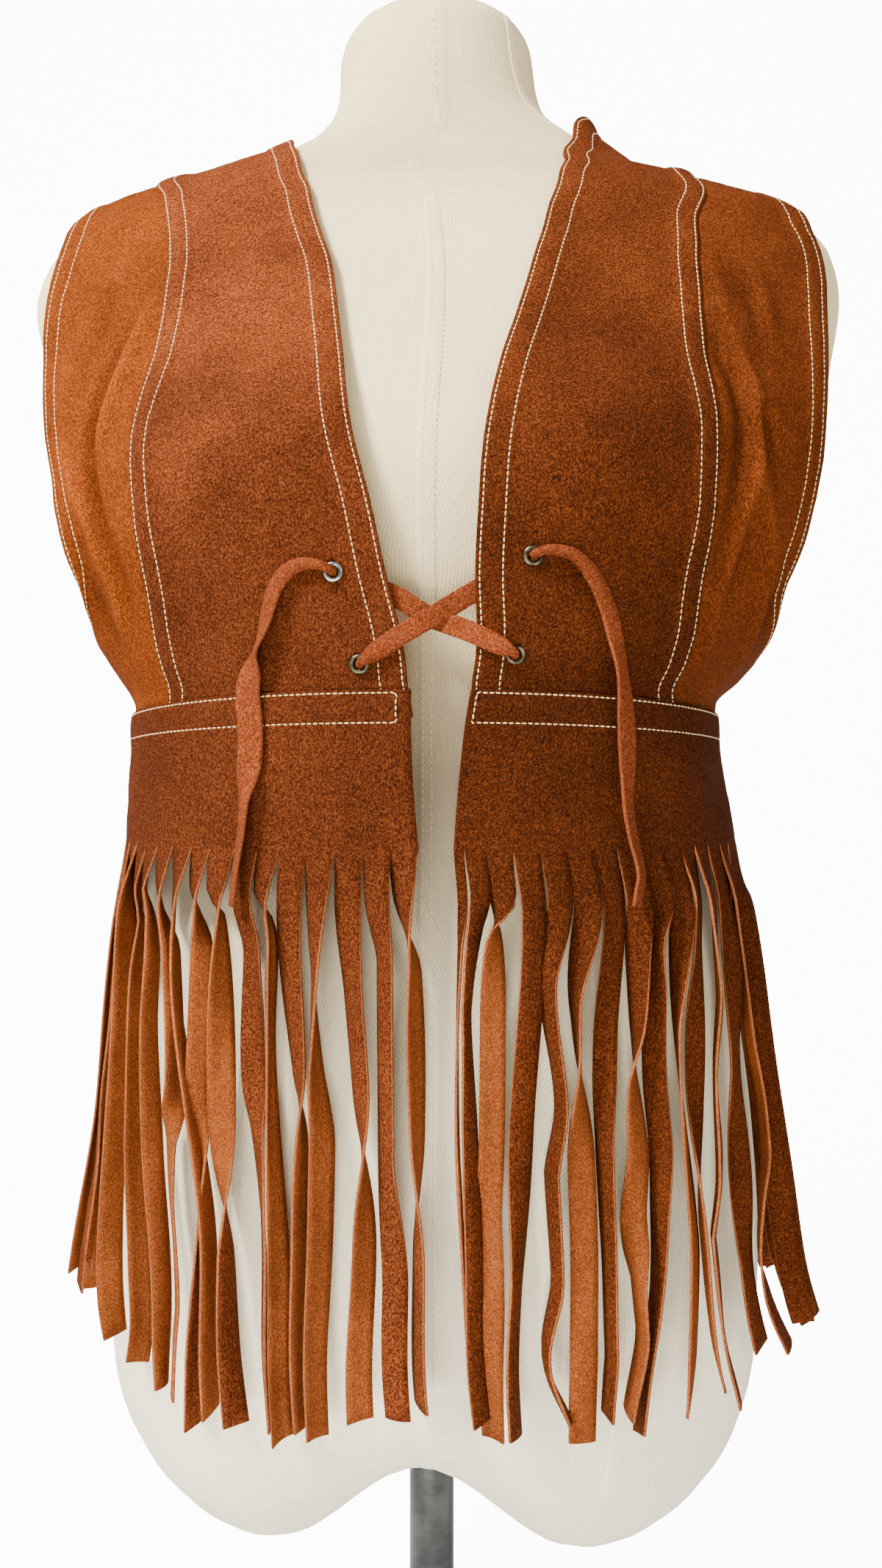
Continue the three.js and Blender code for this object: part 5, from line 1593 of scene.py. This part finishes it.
form = plain_mesh("dress_form_cover", form_verts, form_faces, [0] * len(form_faces), [CANVAS])
steps_round = np.linalg.norm(np.diff(form_rings, axis=1, append=form_rings[:, :1]), axis=2)
across_map = np.concatenate([np.zeros((ring_count, 1)), np.cumsum(steps_round, axis=1)], axis=1)
across_map -= across_map[:, -1:] / 2
steps_up = np.linalg.norm(np.diff(form_rings, axis=0), axis=2).mean(axis=1)
up_map = np.concatenate([[0], np.cumsum(steps_up)])
cloth_map = form.data.uv_layers.new(name="cloth")
places = []
for j in range(ring_count - 1):
    for i in range(around):
        places += [across_map[j, i], up_map[j], across_map[j, i + 1], up_map[j],
                   across_map[j + 1, i + 1], up_map[j + 1], across_map[j + 1, i], up_map[j + 1]]
for i in range(around):
    places += [*roof[0, :2], *roof[(i + 1) % around, :2], *roof[i, :2]]
    places += [*neck[0, :2], *neck[i, :2], *neck[(i + 1) % around, :2]]
cloth_map.data.foreach_set("uv", places)
face_outwards(form)


def gore_threads(seam, heights, per_degree):
    """The two rows of thread along a gore seam."""
    lines = []
    for across in GORE_ROWS:
        angle = seam + np.full(len(heights), across) / per_degree
        lines.append(form_point(heights, angle)
                     + outward(form_point, heights, angle) * GORE_THREAD_LIFT)
    return lines


form_thread = []
gore_heights = np.linspace(0.335, 0.93, 160)
for sign in (1, -1):
    for table in (FRONT_GORE, BACK_GORE):
        seam = sign * read_table(table, gore_heights)[:, 1]
        reach = form_point(gore_heights, seam + 0.5) - form_point(gore_heights, seam - 0.5)
        form_thread += gore_threads(seam, gore_heights, np.linalg.norm(reach, axis=1))
for seam in (0, 180):
    form_thread += gore_threads(seam, np.linspace(0.335, 0.99, 170), CENTRE_PER_DEGREE)

CANVAS_THREAD = thread("canvas seam thread", 700, 2, [
    (0.3, (196, 176, 138)), (0.7, (240, 226, 194))], 0.7)
CANVAS_STITCH = (0.0034, 0.0026, 0.0005)
sew("dress_form_stitches", form_thread, CANVAS_THREAD, CANVAS_STITCH)
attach(form, "root")
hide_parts("form_torso")


# ---- Stand ----------------------------------------------------------------------------
# A brushed steel pole in the form's socket, and a heavy turned steel base with a hub.

POLE_RADIUS = 0.012
POLE_FOOT, POLE_TOP = 0.0063, 0.2877
POLE_CHAMFER = 0.0008

BRUSHED_STEEL = metal("brushed steel", (64, 66, 64), (88, 90, 87), 40, (60, 60, 1600), 0.3)
BASE_STEEL = metal("turned steel", (124, 126, 127), (148, 150, 151), 22, (260, 260, 260), 0.38)

pole = turned("pole_drawn", [
    (0, POLE_FOOT), (POLE_RADIUS - POLE_CHAMFER, POLE_FOOT),
    (POLE_RADIUS, POLE_FOOT + POLE_CHAMFER), (POLE_RADIUS, 0.1), (POLE_RADIUS, 0.2),
    (POLE_RADIUS, POLE_TOP - POLE_CHAMFER), (POLE_RADIUS - POLE_CHAMFER, POLE_TOP),
    (0, POLE_TOP)], [BRUSHED_STEEL], 96)
rims = pole.modifiers.new("crisp rims", "BEVEL")
rims.width = 0.0002
rims.segments = 1
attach(pole, "root")
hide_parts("pole")

base_profile = [(0, 0), (0.149, 0), (0.15, 0.001), (0.15, 0.0045)]
base_profile += [(0.1485 + 0.0015 * math.cos(a), 0.0045 + 0.0015 * math.sin(a))
                 for a in (0.4, 0.8, 1.2, 1.571)]
base_profile += [(0.12, 0.006), (0.08, 0.006), (0.04, 0.006), (0.023, 0.0062), (0.0214, 0.0068),
                 (0.021, 0.008), (0.021, 0.0248), (0.0206, 0.0257), (0.0198, 0.026),
                 (0.0128, 0.026), (0.01235, 0.0255), (0.01235, 0.0062), (0, 0.0062)]
base = turned("base_turned", base_profile, [BASE_STEEL], 160)
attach(base, "root")
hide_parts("base")


# ---- Floor and light ------------------------------------------------------------------
# A plain white floor that sweeps up behind, under soft light from the upper left of the
# front, with a weaker fill from the right and one low in front. The room itself shows white.

# How bright the paper and the room show to the camera, and how much the room lights.
PAPER_GLOW, ROOM_GLOW, ROOM_LIGHT = 11.0, 12.0, 0.62

sweep = [(-3.0, 0), (1.0, 0), (1.3, 0.05), (1.55, 0.2), (1.72, 0.45), (1.8, 0.8), (1.8, 4.5)]
sweep_verts = [(x, y, z - 0.0005) for y, z in sweep for x in (-5, 5)]
sweep_faces = [(2 * k, 2 * k + 1, 2 * k + 3, 2 * k + 2) for k in range(len(sweep) - 1)]
PAPER, paper_tree, paper_shader, _ = material("white paper")
paper_seen = node(paper_tree, "ShaderNodeLightPath").outputs["Is Camera Ray"]
fill(paper_shader, {
    "Base Color": (0.86, 0.86, 0.86, 1), "Roughness": 0.9, "Emission Color": (1, 1, 1, 1),
    "Emission Strength": maths(paper_tree, "MULTIPLY", paper_seen, PAPER_GLOW)})
floor = plain_mesh("paper_sweep", sweep_verts, sweep_faces, [0] * len(sweep_faces), [PAPER])

world = bpy.data.worlds.new("pale room")
world.use_nodes = True
room = world.node_tree
room_seen = node(room, "ShaderNodeLightPath").outputs["Is Camera Ray"]
fill(room.nodes["Background"], {
    "Color": (1, 0.99, 0.97, 1),
    "Strength": spread(room, room_seen, 0, 1, ROOM_LIGHT, ROOM_GLOW)})
bpy.context.scene.world = world

for name, place, aim, size, power in (
        ("key", (-0.95, -0.95, 1.9), (-0.03, 0, 0.7), 0.4, 100),
        ("fill", (1.3, -1.5, 1.1), (0, 0, 0.55), 0.8, 14),
        ("low_fill", (-0.2, -1.05, 0.06), (-0.02, 0, 0.27), 0.7, 19)):
    lamp_data = bpy.data.lights.new(name, "AREA")
    lamp_data.size = size
    lamp_data.energy = power
    lamp = add_object(name, lamp_data)
    lamp.location = place
    lamp.rotation_euler = (Vector(aim) - Vector(place)).to_track_quat("-Z", "Y").to_euler()
